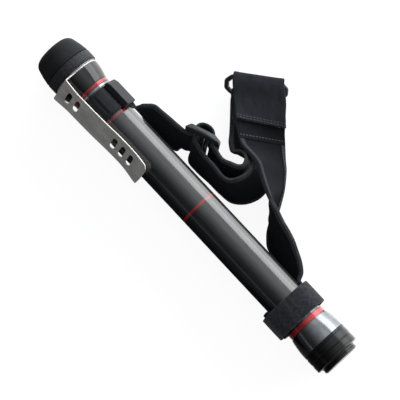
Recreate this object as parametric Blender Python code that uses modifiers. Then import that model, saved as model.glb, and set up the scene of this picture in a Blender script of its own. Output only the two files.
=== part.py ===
"""Telescopic landing net shaft, closed, with belt clip and shoulder strap.

Units are metres and +Z is up. The pole's axis is the X axis: the origin is the
middle of the butt's end face and +X runs to the net end. The strap lies on the
-Y side and the belt clip on the +Y side, turned up from the table.
"""

import math

import bmesh
import bpy
import numpy as np
from mathutils import Matrix, Vector

MM = 0.001

# Fits and general values
GAP = 0.3 * MM                  # clearance between pieces that touch
RING_CHAMFER = 0.2 * MM
TURN_STEPS = 40                 # sides of a visible turned piece
INNER_STEPS = 24                # sides of a hidden turned piece

# Pole
POLE_LENGTH = 427.0 * MM        # butt end face to the end of the rubber cap
TUBE_R = 20.75 * MM             # outer radius of the main tube
TUBE_WALL = 1.3 * MM
TUBE_REAR = 14.0 * MM           # rear end of the main tube inside the butt cap
SECTION_COUNT = 9               # the main tube and the eight that slide in it
SECTION_WALL = 0.9 * MM
SECTION_REAR = 30.0 * MM        # rear ends of the sliding sections when closed
SECTION_CHAMFER = 0.25 * MM

# Net socket in the tip section
SOCKET_BORE_R = 6.1 * MM        # minor radius of the half-inch socket thread
SOCKET_DEPTH = 13.2 * MM
SOCKET_FLOOR = 2.5 * MM
SOCKET_NOSE = 4.5 * MM
SOCKET_NOSE_STEP = 0.55 * MM    # nose is this much smaller than the tip section
SOCKET_FLANGE = 1.7 * MM
SOCKET_LEAD = 0.8 * MM
TIP_STANDS_OUT = 7.4 * MM       # tip section in front of the other sections

# Rubber cap and the fittings at the net end; a rise is over the main tube's radius
CAP_LENGTH = 23.4 * MM
CAP_RISE = 6.05 * MM
CAP_TAPER = 7.8 * MM            # cap's radius shrinks by this much towards its end
CAP_PLUG = 1.8 * MM
CAP_END_WALL = 5.0 * MM
CAP_NEST = 1.2 * MM             # depth of the pocket over the closed sections' ends
COLLAR_LENGTH = 11.5 * MM
COLLAR_RISE = 6.25 * MM
COLLAR_GROOVE = 0.5 * MM
NIPPLE_WALL = 1.95 * MM
NIPPLE_SHORT = 2.3 * MM         # nipple ends this far inside the collar
WASHER_T = 0.8 * MM
WASHER_WIDTH = 2.1 * MM
CLIP_T = 1.4 * MM
CLIP_RING_WIDTH = 2.8 * MM
CONE_LENGTH = 19.0 * MM
CONE_FRONT_RISE = 4.85 * MM
CONE_REAR_RISE = 1.15 * MM
TRIM_LENGTH = 4.0 * MM
TRIM_RISE = 0.95 * MM
SILVER_LENGTH = 2.6 * MM
SILVER_RISE = 0.85 * MM

# Belt clip blade
CLIP_TURN = math.radians(38.5)  # blade's middle, from +Y up towards +Z
BLADE_LENGTH = 118.0 * MM
BLADE_WIDTH = 30.0 * MM
BLADE_ROOT_WIDTH = 35.0 * MM
BLADE_ROOT_RISE = 1.9 * MM      # blade's mid plane at the bend, over the clip's ring
BLADE_TIP_DROP = 0.6 * MM       # tip's mid plane is this much nearer to the pole
BLADE_TOUCH_GAP = 1.4 * MM      # blade's inner face off the tube where it comes closest
BLADE_BEND_R = 1.4 * MM
SLOT_LENGTH = 16.0 * MM
SLOT_WIDTH = 6.0 * MM
SLOT_PITCH = 11.6 * MM
ROOT_SLOTS = 2
TIP_SLOTS = 3
ROOT_SLOT_FROM_BEND = 12.9 * MM
TIP_SLOT_FROM_TIP = 17.4 * MM

# Strap clamp on the tube
CLAMP_WIDTH = 28.0 * MM
CLAMP_WALL = 2.2 * MM
CLAMP_TO_SILVER = 1.2 * MM
LUG_TURN = math.radians(148.0)
LUG_LENGTH = 26.6 * MM
LUG_WIDTH = 13.0 * MM
LUG_RISE = 5.35 * MM            # lug's top over the clamp
LUG_OVERHANG = 3.0 * MM         # lug reaches past the clamp towards the butt
TUNNEL_WALL = 3.0 * MM          # closed end of the lug's tunnel
RIB_TURNS = (math.radians(93.0), math.radians(75.0))
RIB_WIDTHS = (2.4 * MM, 6.4 * MM)
RIB_LENGTH = 22.0 * MM
RIB_HEIGHT = 0.8 * MM
CLAMP_CHAMFER = 0.5 * MM
LUG_BEVEL = 1.0 * MM

# Butt fittings
END_RING_LENGTH = 6.0 * MM
END_RING_STEP = 4.9 * MM        # end ring is this much smaller than the grip
BUTT_CAP_LENGTH = 20.0 * MM     # grip part of the butt cap
BUTT_RISE = 4.45 * MM
SLEEVE_LENGTH = 21.6 * MM
SLEEVE_FRONT_RISE = 2.15 * MM
REAR_TRIM_LENGTH = 5.4 * MM
REAR_TRIM_RISE = 1.45 * MM
CAP_FLOOR = 12.0 * MM           # solid end of the butt cap
INSERT_WALL = 2.65 * MM
SPIGOT_LENGTH = 12.0 * MM
SPIGOT_WALL = 7.6 * MM
CUSHION_T = 3.5 * MM
CUSHION_STEM = 8.0 * MM
CUSHION_STEM_GAP = 0.4 * MM
O_RING_R = 0.7 * MM
GROOVE_DEPTH = 0.6 * MM

# Hook-and-loop band near the butt
BAND_WIDTH = 26.4 * MM
BAND_T = 3.2 * MM
BAND_FROM_TRIM = 1.8 * MM
TAB_REACH = 3.3 * MM            # tab stands out from under the band on the net side
TAB_T = 5.9 * MM
TAB_HALF_TURN = math.radians(33.0)
BAND_LOW_RISE = 3.4 * MM        # band's inner side off the tube under the pole

# Strap
STRAP_WIDTH = 50.0 * MM         # shoulder strap; its whole layout grows with it
STRAP_T = 3.2 * MM
WEB_T = 2.4 * MM                # adjuster webbing
RING_WIRE_R = 2.0 * MM
RING_CORNER = 5.0 * MM
LABEL_T = 0.8 * MM
TONGUE_WIDTH = 9.0 * MM
BUCKLE_LENGTH = 51.0 * MM
BUCKLE_WIDTH = 38.0 * MM
BUCKLE_T = 4.5 * MM
BUCKLE_BAR = 5.0 * MM
BUCKLE_SLOT = 45.0 * MM
WEB_IN_BUCKLE = 43.0 * MM
LAY_TURN = math.radians(46.93)  # strap's layout on the table, against the pole

# Places along the pole, worked out from the butt
butt_cap_front = END_RING_LENGTH + BUTT_CAP_LENGTH
sleeve_rear = butt_cap_front + GAP
sleeve_front = sleeve_rear + SLEEVE_LENGTH
rear_trim_rear = sleeve_front + GAP
rear_trim_front = rear_trim_rear + REAR_TRIM_LENGTH
band_rear = rear_trim_front + BAND_FROM_TRIM
band_front = band_rear + BAND_WIDTH
band_middle = (band_rear + band_front) / 2

# Places along the pole, worked out from the net end
cap_rear = POLE_LENGTH - CAP_LENGTH
collar_front = cap_rear - GAP
collar_rear = collar_front - COLLAR_LENGTH
washer_front = collar_rear - GAP
washer_rear = washer_front - WASHER_T
clip_front = washer_rear - GAP
clip_rear = clip_front - CLIP_T
cone_front = clip_rear - GAP
cone_rear = cone_front - CONE_LENGTH
trim_front = cone_rear - GAP
trim_rear = trim_front - TRIM_LENGTH
silver_front = trim_rear - GAP
silver_rear = silver_front - SILVER_LENGTH
clamp_front = silver_rear - CLAMP_TO_SILVER
clamp_rear = clamp_front - CLAMP_WIDTH
clamp_middle = (clamp_front + clamp_rear) / 2
nipple_front = collar_front - NIPPLE_SHORT
tube_front = nipple_front - 1.0 * MM
section_front = nipple_front - 0.4 * MM
tip_front = section_front + TIP_STANDS_OUT
socket_front = tip_front + GAP + SOCKET_FLANGE + SOCKET_NOSE

# Radii of the nested tubes
tube_bore = TUBE_R - TUBE_WALL
seat_r = TUBE_R + GAP           # bore of whatever sits on the tube


def section_radius(number):
    """Outer radius of sliding section 2, 3 and so on, each inside the one before."""
    return tube_bore - GAP - (number - 2) * (SECTION_WALL + GAP)


tip_r = section_radius(SECTION_COUNT)
tip_bore = tip_r - SECTION_WALL
socket_nose_r = tip_r - SOCKET_NOSE_STEP

# Radii of what sits on the tube and in it
cap_r = TUBE_R + CAP_RISE
collar_r = TUBE_R + COLLAR_RISE
nipple_r = seat_r + NIPPLE_WALL
nipple_seat_r = nipple_r + GAP
washer_r = nipple_seat_r + WASHER_WIDTH
clip_ring_r = nipple_seat_r + CLIP_RING_WIDTH
blade_root_h = clip_ring_r + BLADE_ROOT_RISE
blade_tip_h = blade_root_h - BLADE_TIP_DROP
cone_front_r = TUBE_R + CONE_FRONT_RISE
cone_rear_r = TUBE_R + CONE_REAR_RISE
clamp_r = seat_r + CLAMP_WALL
lug_top_r = clamp_r + LUG_RISE
tongue_r = clamp_r + GAP + WEB_T / 2
butt_r = TUBE_R + BUTT_RISE
end_ring_r = butt_r - END_RING_STEP
sleeve_front_r = TUBE_R + SLEEVE_FRONT_RISE
insert_r = tube_bore - GAP
insert_bore = insert_r - INSERT_WALL
spigot_r = insert_bore - GAP
spigot_bore_r = spigot_r - SPIGOT_WALL
cushion_stem_r = spigot_bore_r - CUSHION_STEM_GAP
table_z = -collar_r             # the table that the pole lies on
lay_unit = STRAP_WIDTH / 50     # one unit of the strap's layout
buckle_unit = BUCKLE_WIDTH / 38

# Removing what is already in the scene
for old in list(bpy.data.objects):
    bpy.data.objects.remove(old, do_unlink=True)

parts = bpy.data.collections.new("landing_net_shaft")
cutters = bpy.data.collections.new("cutters")
bpy.context.scene.collection.children.link(parts)
bpy.context.scene.collection.children.link(cutters)


def finish_material(name, colour, roughness, metallic=0.0):
    """Principled material with one colour, given as linear red, green and blue."""
    material = bpy.data.materials.new(name)
    material.use_nodes = True
    shader = material.node_tree.nodes["Principled BSDF"]
    shader.inputs["Base Color"].default_value = (*colour, 1.0)
    shader.inputs["Roughness"].default_value = roughness
    shader.inputs["Metallic"].default_value = metallic
    return material


def place(name, mesh, material):
    """Adds a finished mesh to the parts collection under its own name."""
    thing = bpy.data.objects.new(name, mesh)
    thing.data.materials.append(material)
    parts.objects.link(thing)
    return thing


def mesh_from(name, points, faces):
    """Mesh from points and faces, with its faces turned outwards."""
    mesh = bpy.data.meshes.new(name)
    mesh.from_pydata([tuple(point) for point in points], [], faces)
    shape = bmesh.new()
    shape.from_mesh(mesh)
    bmesh.ops.recalc_face_normals(shape, faces=shape.faces)
    shape.to_mesh(mesh)
    shape.free()
    return mesh


def turned(name, outline, material, closed=True, steps=TURN_STEPS):
    """Piece turned about the pole's axis from an outline of (x, radius) points.

    The outline runs down its outer side from the net end to the butt end. A
    closed outline is a ring and comes back along its bore, an open one starts
    and ends on the axis.
    """
    mesh = bpy.data.meshes.new(name)
    points = [(radius, 0.0, x) for x, radius in outline]
    edges = [(index, index + 1) for index in range(len(points) - 1)]
    if closed:
        edges.append((len(points) - 1, 0))
    mesh.from_pydata(points, edges, [])
    thing = place(name, mesh, material)
    thing.rotation_euler = (0.0, math.pi / 2, 0.0)
    screw = thing.modifiers.new("turn", "SCREW")
    screw.axis = "Z"
    screw.angle = 2 * math.pi
    screw.steps = steps
    screw.render_steps = steps
    screw.use_merge_vertices = True
    screw.merge_threshold = 0.00001
    screw.use_smooth_shade = True
    return thing


def ring_outline(rear, front, bore, outer, chamfer=0.0):
    """Outline of a plain ring with both outer edges chamfered."""
    if chamfer == 0.0:
        return [(front, outer), (rear, outer), (rear, bore), (front, bore)]
    return [
        (front, outer - chamfer), (front - chamfer, outer), (rear + chamfer, outer),
        (rear, outer - chamfer), (rear, bore), (front, bore),
    ]


def boolean(thing, other, operation):
    """Cuts or joins another object, which then only guides the modifier."""
    step = thing.modifiers.new(operation.lower(), "BOOLEAN")
    step.operation = operation
    step.object = other
    step.solver = "EXACT"
    for collection in list(other.users_collection):
        collection.objects.unlink(other)
    cutters.objects.link(other)
    other.hide_render = True
    other.display_type = "WIRE"


def block(name, size, matrix, bevel=0.0):
    """Box of a size, placed by a matrix, with its edges rounded if asked."""
    shape = bmesh.new()
    bmesh.ops.create_cube(shape, size=1.0)
    bmesh.ops.scale(shape, vec=size, verts=shape.verts)
    if bevel > 0.0:
        bmesh.ops.bevel(
            shape, geom=list(shape.edges), offset=bevel, segments=2,
            profile=0.5, affect="EDGES", clamp_overlap=True,
        )
    bmesh.ops.transform(shape, matrix=matrix, verts=shape.verts)
    mesh = bpy.data.meshes.new(name)
    shape.to_mesh(mesh)
    shape.free()
    return bpy.data.objects.new(name, mesh)


def around(turn, x, radius):
    """Frame at an angle round the pole: local X along it, local Z straight out."""
    outwards = Vector((0.0, math.cos(turn), math.sin(turn)))
    along = Vector((1.0, 0.0, 0.0))
    across = outwards.cross(along)
    frame = Matrix((along, across, outwards)).transposed().to_4x4()
    return Matrix.Translation(Vector((x, 0.0, 0.0)) + outwards * radius) @ frame


def polar(x, radius, turn):
    """Point at a radius and an angle round the pole's axis."""
    return np.array((x, radius * math.cos(turn), radius * math.sin(turn)))


# Materials, one for each kind of surface
carbon = (0.020, 0.021, 0.024)
black = (0.012, 0.012, 0.013)
textile = (0.018, 0.019, 0.023)
red = (0.55, 0.012, 0.015)


def add_tubes():
    """The main tube, and the sections that slide in it, each inside the one before."""
    turned(
        "main_tube",
        ring_outline(TUBE_REAR, tube_front, tube_bore, TUBE_R, SECTION_CHAMFER),
        finish_material("gloss_carbon", carbon, 0.12),
    )
    for number in range(2, SECTION_COUNT + 1):
        outer = section_radius(number)
        front = tip_front if number == SECTION_COUNT else section_front
        turned(
            f"section_{number}",
            ring_outline(SECTION_REAR, front, outer - SECTION_WALL, outer),
            finish_material(f"carbon_section_{number}", carbon, 0.25),
            steps=INNER_STEPS,
        )


def add_net_socket():
    """Metal socket bonded into the tip section, with a plain bore for the net's thread."""
    flange_rear = tip_front + GAP
    nose_rear = flange_rear + SOCKET_FLANGE
    bore_floor = socket_front - SOCKET_DEPTH
    rear = bore_floor - SOCKET_FLOOR
    shank_r = tip_bore - GAP
    lead = SOCKET_LEAD
    turned(
        "net_ferrule",
        [
            (bore_floor, 0.0), (bore_floor, SOCKET_BORE_R),
            (socket_front - lead, SOCKET_BORE_R), (socket_front, SOCKET_BORE_R + lead),
            (socket_front, socket_nose_r - lead / 2), (socket_front - lead / 2, socket_nose_r),
            (nose_rear, socket_nose_r), (nose_rear, tip_r), (flange_rear, tip_r),
            (flange_rear, shank_r), (rear, shank_r), (rear, 0.0),
        ],
        finish_material("nickel_plated_brass", (0.55, 0.53, 0.48), 0.3, 1.0),
        closed=False,
        steps=INNER_STEPS,
    )


def add_front_cap():
    """Rubber cap: its plug sits in the collar, and its recess takes the net socket."""
    plug_rear = cap_rear - CAP_PLUG
    nest_r = tube_bore
    nest_floor = cap_rear + CAP_NEST
    recess_r = tip_r + GAP
    recess_floor = POLE_LENGTH - CAP_END_WALL
    # shares of the cap's length and of its taper, from the collar to the rounded end
    side = [
        (0.0, 0.077), (0.034, 0.0), (0.19, 0.085), (0.38, 0.17), (0.56, 0.30), (0.72, 0.42),
        (0.83, 0.55), (0.897, 0.73), (0.949, 0.923), (0.985, 1.154), (1.0, 1.436),
    ]
    skirt = [(cap_rear + along * CAP_LENGTH, cap_r - fall * CAP_TAPER) for along, fall in side]
    turned(
        "front_cap",
        [
            (POLE_LENGTH, 0.0), *reversed(skirt), (cap_rear, nipple_r), (plug_rear, nipple_r),
            (plug_rear, nest_r), (nest_floor, nest_r), (nest_floor, recess_r),
            (recess_floor, recess_r), (recess_floor, 0.0),
        ],
        finish_material("black_rubber", black, 0.75),
        closed=False,
    )


def add_front_fittings():
    """Cone with its nipple, collar nut, washer and the trim rings at the net end."""
    rise = cone_front_r - cone_rear_r
    flare = [(0.0, 0.0), (0.12, 0.16), (0.28, 0.42), (0.45, 0.66), (0.65, 0.86), (0.85, 0.97)]
    outside = [(cone_rear + along * CONE_LENGTH, cone_rear_r + up * rise) for along, up in flare]
    turned(
        "front_cone",
        [
            (nipple_front, nipple_r), (cone_front, nipple_r), (cone_front, cone_front_r),
            *reversed(outside), (cone_rear, seat_r), (nipple_front, seat_r),
        ],
        finish_material("black_gloss_lacquer", black, 0.1),
    )
    groove = COLLAR_GROOVE
    turned(
        "front_collar",
        [
            (collar_front, collar_r - 2 * groove), (collar_front - groove, collar_r - groove),
            (collar_front - 2.5 * groove, collar_r), (collar_rear + groove, collar_r),
            (collar_rear, collar_r - groove), (collar_rear, nipple_seat_r),
            (collar_front, nipple_seat_r),
        ],
        finish_material("textured_nylon", (0.030, 0.030, 0.034), 0.8),
    )
    turned(
        "clip_washer",
        ring_outline(washer_rear, washer_front, nipple_seat_r, washer_r),
        finish_material("white_nylon_washer", (0.5, 0.5, 0.48), 0.5),
    )
    turned(
        "trim_ring_front",
        ring_outline(trim_rear, trim_front, seat_r, TUBE_R + TRIM_RISE, RING_CHAMFER),
        finish_material("red_anodised_front", red, 0.3, 0.6),
    )
    turned(
        "silver_ring",
        ring_outline(silver_rear, silver_front, seat_r, TUBE_R + SILVER_RISE, RING_CHAMFER),
        finish_material("silver_anodised", (0.6, 0.62, 0.65), 0.25, 1.0),
    )


def blade_height(along):
    """Blade's mid plane off the axis at a share of its length from the bend."""
    closest = TUBE_R + BLADE_TOUCH_GAP + CLIP_T / 2
    shares = (0.0, 0.14, 0.32, 0.47, 0.64, 0.78, 0.89, 1.0)
    lifts = (1.0, 0.86, 0.62, 0.42, 0.13, 0.0)
    heights = [closest + lift * (blade_root_h - closest) for lift in lifts]
    heights += [closest + 0.22 * (blade_tip_h - closest), blade_tip_h]
    return float(np.interp(along, shares, heights))


def add_belt_clip():
    """One bent plate: a ring round the nipple, a tab and the slotted blade."""
    segments = TURN_STEPS
    tab_segments = 12
    plate_x = (clip_front + clip_rear) / 2
    frame = around(CLIP_TURN, 0.0, 0.0)

    def local(x, across, height):
        """Point by its place along the pole, across the blade and off the axis."""
        return frame @ Vector((x, across, height))

    points = []
    for radius in (nipple_seat_r, clip_ring_r):
        for index in range(segments):
            turn = 2 * math.pi * index / segments
            points.append(local(plate_x, radius * math.sin(turn), radius * math.cos(turn)))
    faces = []
    for index in range(segments):
        after = (index + 1) % segments
        faces.append((index, after, segments + after, segments + index))

    tip_x = plate_x - BLADE_LENGTH
    rows = [(plate_x, blade_root_h - BLADE_BEND_R, BLADE_ROOT_WIDTH / 2)]
    for step in (1, 2, 3):
        bend = step * math.pi / 6
        rows.append((
            plate_x - BLADE_BEND_R * (1 - math.cos(bend)),
            blade_root_h - BLADE_BEND_R * (1 - math.sin(bend)),
            BLADE_ROOT_WIDTH / 2,
        ))
    for along in (0.06, 0.14, 0.22, 0.32, 0.47, 0.56, 0.64, 0.71, 0.78, 0.84, 0.89, 0.94, 1.0):
        widening = max(0.0, 1 - along / 0.16)
        half = (BLADE_WIDTH + widening * (BLADE_ROOT_WIDTH - BLADE_WIDTH)) / 2
        half += max(0.0, along - 0.8) * 4.0 * MM
        rows.append((plate_x - along * BLADE_LENGTH, blade_height(along), half))
    first = len(points)
    for x, height, half in rows:
        for index in range(tab_segments + 1):
            across = half * (2 * index / tab_segments - 1)
            points.append(local(x, across, height))
    # the tab grows out of the ring's outer edge, between the two angles of its sides
    for index in range(tab_segments):
        left = segments + (index - tab_segments // 2) % segments
        right = segments + (index + 1 - tab_segments // 2) % segments
        faces.append((left, right, first + index + 1, first + index))
    for row in range(len(rows) - 1):
        start = first + row * (tab_segments + 1)
        for index in range(tab_segments):
            near = start + index
            far = near + tab_segments + 1
            faces.append((near, near + 1, far + 1, far))

    mesh = bpy.data.meshes.new("belt_clip")
    mesh.from_pydata([tuple(point) for point in points], [], faces)
    shape = bmesh.new()
    shape.from_mesh(mesh)
    bmesh.ops.recalc_face_normals(shape, faces=shape.faces)
    shape.to_mesh(mesh)
    shape.free()
    clip = place("belt_clip", mesh, finish_material("brushed_steel", (0.36, 0.35, 0.33), 0.35, 1.0))
    wall = clip.modifiers.new("plate", "SOLIDIFY")
    wall.thickness = CLIP_T
    wall.offset = 0.0
    wall.use_even_offset = True

    slots = bmesh.new()
    places = [plate_x - ROOT_SLOT_FROM_BEND - index * SLOT_PITCH for index in range(ROOT_SLOTS)]
    places += [tip_x + TIP_SLOT_FROM_TIP + index * SLOT_PITCH for index in range(TIP_SLOTS)]
    straight = SLOT_LENGTH / 2 - SLOT_WIDTH / 2
    for x in places:
        low = TUBE_R
        high = blade_root_h + 4 * MM
        outline = []
        for end, sign in ((straight, 1), (-straight, -1)):
            for index in range(7):
                turn = math.pi * index / 6
                outline.append((
                    x + sign * math.cos(turn) * SLOT_WIDTH / 2,
                    end + sign * math.sin(turn) * SLOT_WIDTH / 2,
                ))
        base = [slots.verts.new(local(px, py, low)) for px, py in outline]
        face = slots.faces.new(base)
        raised = bmesh.ops.extrude_face_region(slots, geom=[face])
        tops = [item for item in raised["geom"] if isinstance(item, bmesh.types.BMVert)]
        lift = frame.to_3x3() @ Vector((0.0, 0.0, high - low))
        bmesh.ops.translate(slots, vec=lift, verts=tops)
    bmesh.ops.recalc_face_normals(slots, faces=slots.faces)
    slot_mesh = bpy.data.meshes.new("clip_slots")
    slots.to_mesh(slot_mesh)
    slots.free()
    boolean(clip, bpy.data.objects.new("clip_slots", slot_mesh), "DIFFERENCE")


def add_strap_clamp():
    """Band clamp round the tube, with a lug whose tunnel grips the strap's tongue."""
    clamp = turned(
        "strap_clamp",
        ring_outline(clamp_rear, clamp_front, seat_r, clamp_r, CLAMP_CHAMFER),
        finish_material("black_nylon_clamp", (0.022, 0.022, 0.025), 0.5),
    )
    foot = seat_r + CLAMP_WALL / 2
    lug_x = clamp_rear - LUG_OVERHANG + LUG_LENGTH / 2
    lug = block(
        "clamp_lug", (LUG_LENGTH, LUG_WIDTH, lug_top_r - foot),
        around(LUG_TURN, lug_x, (lug_top_r + foot) / 2), LUG_BEVEL,
    )
    boolean(clamp, lug, "UNION")
    for turn, width in zip(RIB_TURNS, RIB_WIDTHS):
        rib_top = clamp_r + RIB_HEIGHT
        rib = block(
            "clamp_rib", (RIB_LENGTH, width, rib_top - foot),
            around(turn, clamp_middle, (rib_top + foot) / 2), RIB_HEIGHT / 2,
        )
        boolean(clamp, rib, "UNION")
    tunnel_length = LUG_LENGTH - TUNNEL_WALL
    mouth = clamp_rear - LUG_OVERHANG
    cut_past = 4 * MM
    tunnel = block(
        "clamp_tunnel", (tunnel_length + cut_past, TONGUE_WIDTH + 2 * GAP, WEB_T + 2 * GAP),
        around(LUG_TURN, mouth + (tunnel_length - cut_past) / 2, tongue_r),
    )
    boolean(clamp, tunnel, "DIFFERENCE")


def add_butt():
    """Sleeve, trim ring, threaded insert, screw-on cap, cushion and O-ring."""
    rise = butt_r - sleeve_front_r
    taper = [(0.0, 1.0), (0.2, 0.97), (0.4, 0.85), (0.6, 0.64), (0.8, 0.36), (0.93, 0.12)]
    outside = [(sleeve_rear + along * SLEEVE_LENGTH, sleeve_front_r + up * rise)
               for along, up in taper]
    turned(
        "butt_sleeve",
        [
            (sleeve_front, sleeve_front_r - RING_CHAMFER), *reversed(outside),
            (sleeve_rear, seat_r), (sleeve_front, seat_r),
        ],
        finish_material("silver_sleeve", (0.5, 0.52, 0.54), 0.2, 1.0),
    )
    turned(
        "trim_ring_rear",
        ring_outline(rear_trim_rear, rear_trim_front, seat_r, TUBE_R + REAR_TRIM_RISE, RING_CHAMFER),
        finish_material("red_anodised_rear", red, 0.3, 0.6),
    )
    turned(
        "butt_insert",
        ring_outline(TUBE_REAR, butt_cap_front, insert_bore, insert_r, RING_CHAMFER),
        finish_material("insert_aluminium", (0.6, 0.6, 0.6), 0.4, 1.0),
    )
    step = 0.5 * MM
    groove = GROOVE_DEPTH
    grip_rear = END_RING_LENGTH
    spigot_front = CAP_FLOOR + SPIGOT_LENGTH
    stem_floor = spigot_front - CUSHION_STEM - GAP
    grooves = []
    for share in (0.86, 0.45):
        middle = grip_rear + share * BUTT_CAP_LENGTH
        grooves += [
            (middle + groove, butt_r), (middle + groove / 2, butt_r - groove),
            (middle - groove / 2, butt_r - groove), (middle - groove, butt_r),
        ]
    turned(
        "butt_cap",
        [
            (stem_floor, 0.0), (stem_floor, spigot_bore_r), (spigot_front, spigot_bore_r),
            (spigot_front, spigot_r - step), (spigot_front - step, spigot_r),
            (CAP_FLOOR, spigot_r), (CAP_FLOOR, seat_r), (butt_cap_front, seat_r),
            (butt_cap_front, butt_r - step), (butt_cap_front - step, butt_r), *grooves,
            (grip_rear + step, butt_r), (grip_rear, butt_r - step), (grip_rear, end_ring_r - step),
            (grip_rear - step, end_ring_r), (3 * step, end_ring_r),
            (step, end_ring_r - 1.5 * step), (0.0, end_ring_r - 4 * step), (0.0, 0.0),
        ],
        finish_material("black_anodised_cap", black, 0.3, 0.3),
        closed=False,
    )
    head_rear = spigot_front + GAP
    head_front = head_rear + CUSHION_T
    turned(
        "butt_cushion",
        [
            (head_front, 0.0), (head_front, spigot_r - step), (head_rear, spigot_r - step),
            (head_rear, cushion_stem_r), (head_rear - CUSHION_STEM + GAP, cushion_stem_r),
            (head_rear - CUSHION_STEM + GAP, 0.0),
        ],
        finish_material("cushion_rubber", black, 0.8),
        closed=False,
        steps=INNER_STEPS,
    )
    ring_x = (CAP_FLOOR + TUBE_REAR) / 2
    ring_middle = spigot_r + GAP + O_RING_R
    profile = [
        (ring_x + O_RING_R * math.cos(index * math.pi / 4),
         ring_middle + O_RING_R * math.sin(index * math.pi / 4))
        for index in range(8, 0, -1)
    ]
    turned(
        "butt_o_ring", list(reversed(profile)), finish_material("o_ring_rubber", black, 0.6),
        steps=INNER_STEPS,
    )


def band_radius(turn):
    """Middle radius of the wrapped band: close on top, wide over the tab and tongue."""
    degrees = math.degrees(turn) % 360
    over_tab = seat_r + TAB_T + GAP * 2 + BAND_T / 2
    over_tongue = seat_r + STRAP_T + GAP * 2.5 + BAND_T / 2
    on_tube = seat_r + BAND_T / 2
    low = TUBE_R + BAND_LOW_RISE + BAND_T / 2
    turns = (0, 36, 58, 88, 108, 132, 180, 228, 248, 270, 296, 324, 360)
    radii = (
        over_tab, over_tab, on_tube + 2.2 * MM, on_tube, on_tube + 0.6 * MM, over_tongue,
        over_tongue + 0.3 * MM, over_tongue, low - 0.9 * MM, low - 0.7 * MM,
        low + 1.2 * MM, over_tab, over_tab,
    )
    return float(np.interp(degrees, turns, radii))


def add_rear_band():
    """Hook-and-loop band round the tube and the strap's tongue, and its inner tab."""
    around_count = 60
    turns = [2 * math.pi * index / around_count for index in range(around_count)]
    middles = np.array([band_radius(turn) for turn in turns])
    smooth = (np.roll(middles, 1) + 2 * middles + np.roll(middles, -1)) / 4
    middles = np.maximum(middles, smooth)
    round_edge = 0.6 * MM
    half = BAND_T / 2
    loop = [
        (band_rear, half - round_edge), (band_rear + round_edge, half),
        (band_front - round_edge, half), (band_front, half - round_edge),
        (band_front, -half), (band_rear, -half),
    ]
    points = []
    for turn, middle in zip(turns, middles):
        points += [polar(x, middle + off, turn) for x, off in loop]
    size = len(loop)
    faces = []
    for index in range(around_count):
        after = (index + 1) % around_count
        for side in range(size):
            beside = (side + 1) % size
            faces.append((
                index * size + side, index * size + beside,
                after * size + beside, after * size + side,
            ))
    felt = finish_material("loop_webbing", (0.030, 0.031, 0.036), 0.9)
    place("rear_band", mesh_from("rear_band", points, faces), felt)

    steps = 10
    tab_rear = rear_trim_front + GAP
    tab_front = band_front + TAB_REACH
    tab_points = []
    for index in range(steps + 1):
        turn = TAB_HALF_TURN * (2 * index / steps - 1)
        inner = seat_r
        outer = seat_r + TAB_T
        tab_points += [polar(tab_rear, inner, turn), polar(tab_front, inner, turn),
                       polar(tab_front, outer, turn), polar(tab_rear, outer, turn)]
    tab_faces = [(0, 1, 2, 3)]
    for index in range(steps):
        for side in range(4):
            beside = (side + 1) % 4
            tab_faces.append((index * 4 + side, index * 4 + beside,
                              index * 4 + 4 + beside, index * 4 + 4 + side))
    last = steps * 4
    tab_faces.append((last + 3, last + 2, last + 1, last))
    hook = finish_material("hook_tape", (0.014, 0.014, 0.016), 0.9)
    place("band_tab", mesh_from("band_tab", tab_points, tab_faces), hook)


# The strap is laid out on the table in its own frame: to the right and down the
# layout from a point beside the pole, and height above the table. Its units are
# millimetres where the shoulder strap is 50 mm wide.
lay_origin = np.array(((clamp_middle + band_middle) / 2, -TUBE_R, table_z))
lay_right = np.array((-math.cos(LAY_TURN), -math.sin(LAY_TURN), 0.0))
lay_down = np.array((-math.sin(LAY_TURN), math.cos(LAY_TURN), 0.0))
lay_up = np.array((0.0, 0.0, 1.0))
ACROSS = 4                      # spans across a strap
ROW_SPACING = 5.5 * MM          # distance between the rows of a strap


def lay(point):
    """World place of a point of the strap's layout."""
    right, down, height = point
    return lay_origin + lay_unit * (right * lay_right + down * lay_down + height * lay_up)


def lay_row(upper, lower, bulge=0.0):
    """Row of points across the strap, its middle pushed to the layout's right."""
    start = lay(upper)
    end = lay(lower)
    row = []
    for index in range(ACROSS + 1):
        share = index / ACROSS
        push = 4 * share * (1 - share) * bulge * lay_unit
        row.append(start + (end - start) * share + lay_right * push)
    return np.array(row)


def arc_row(x, radius, upper_turn, lower_turn):
    """Row of points that hugs the pole between two angles."""
    turns = np.linspace(upper_turn, lower_turn, ACROSS + 1)
    return np.array([polar(x, radius, turn) for turn in turns])


def fold_rows(left, right, radius, first_turn, last_turn, count):
    """Rows of a fold round a bar of the strap ring, from one side to the other."""
    bar_left = np.array(left)
    bar_right = np.array(right)
    bar = (bar_right - bar_left) / np.linalg.norm(bar_right - bar_left)
    away = np.array((bar[1], -bar[0], 0.0))
    up = np.array((0.0, 0.0, 1.0))
    rows = []
    for index in range(count):
        turn = first_turn + (last_turn - first_turn) * index / (count - 1)
        offset = (away * math.cos(turn) + up * math.sin(turn)) * radius / lay_unit
        rows.append(lay_row(bar_left + offset, bar_right + offset))
    return rows


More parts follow.
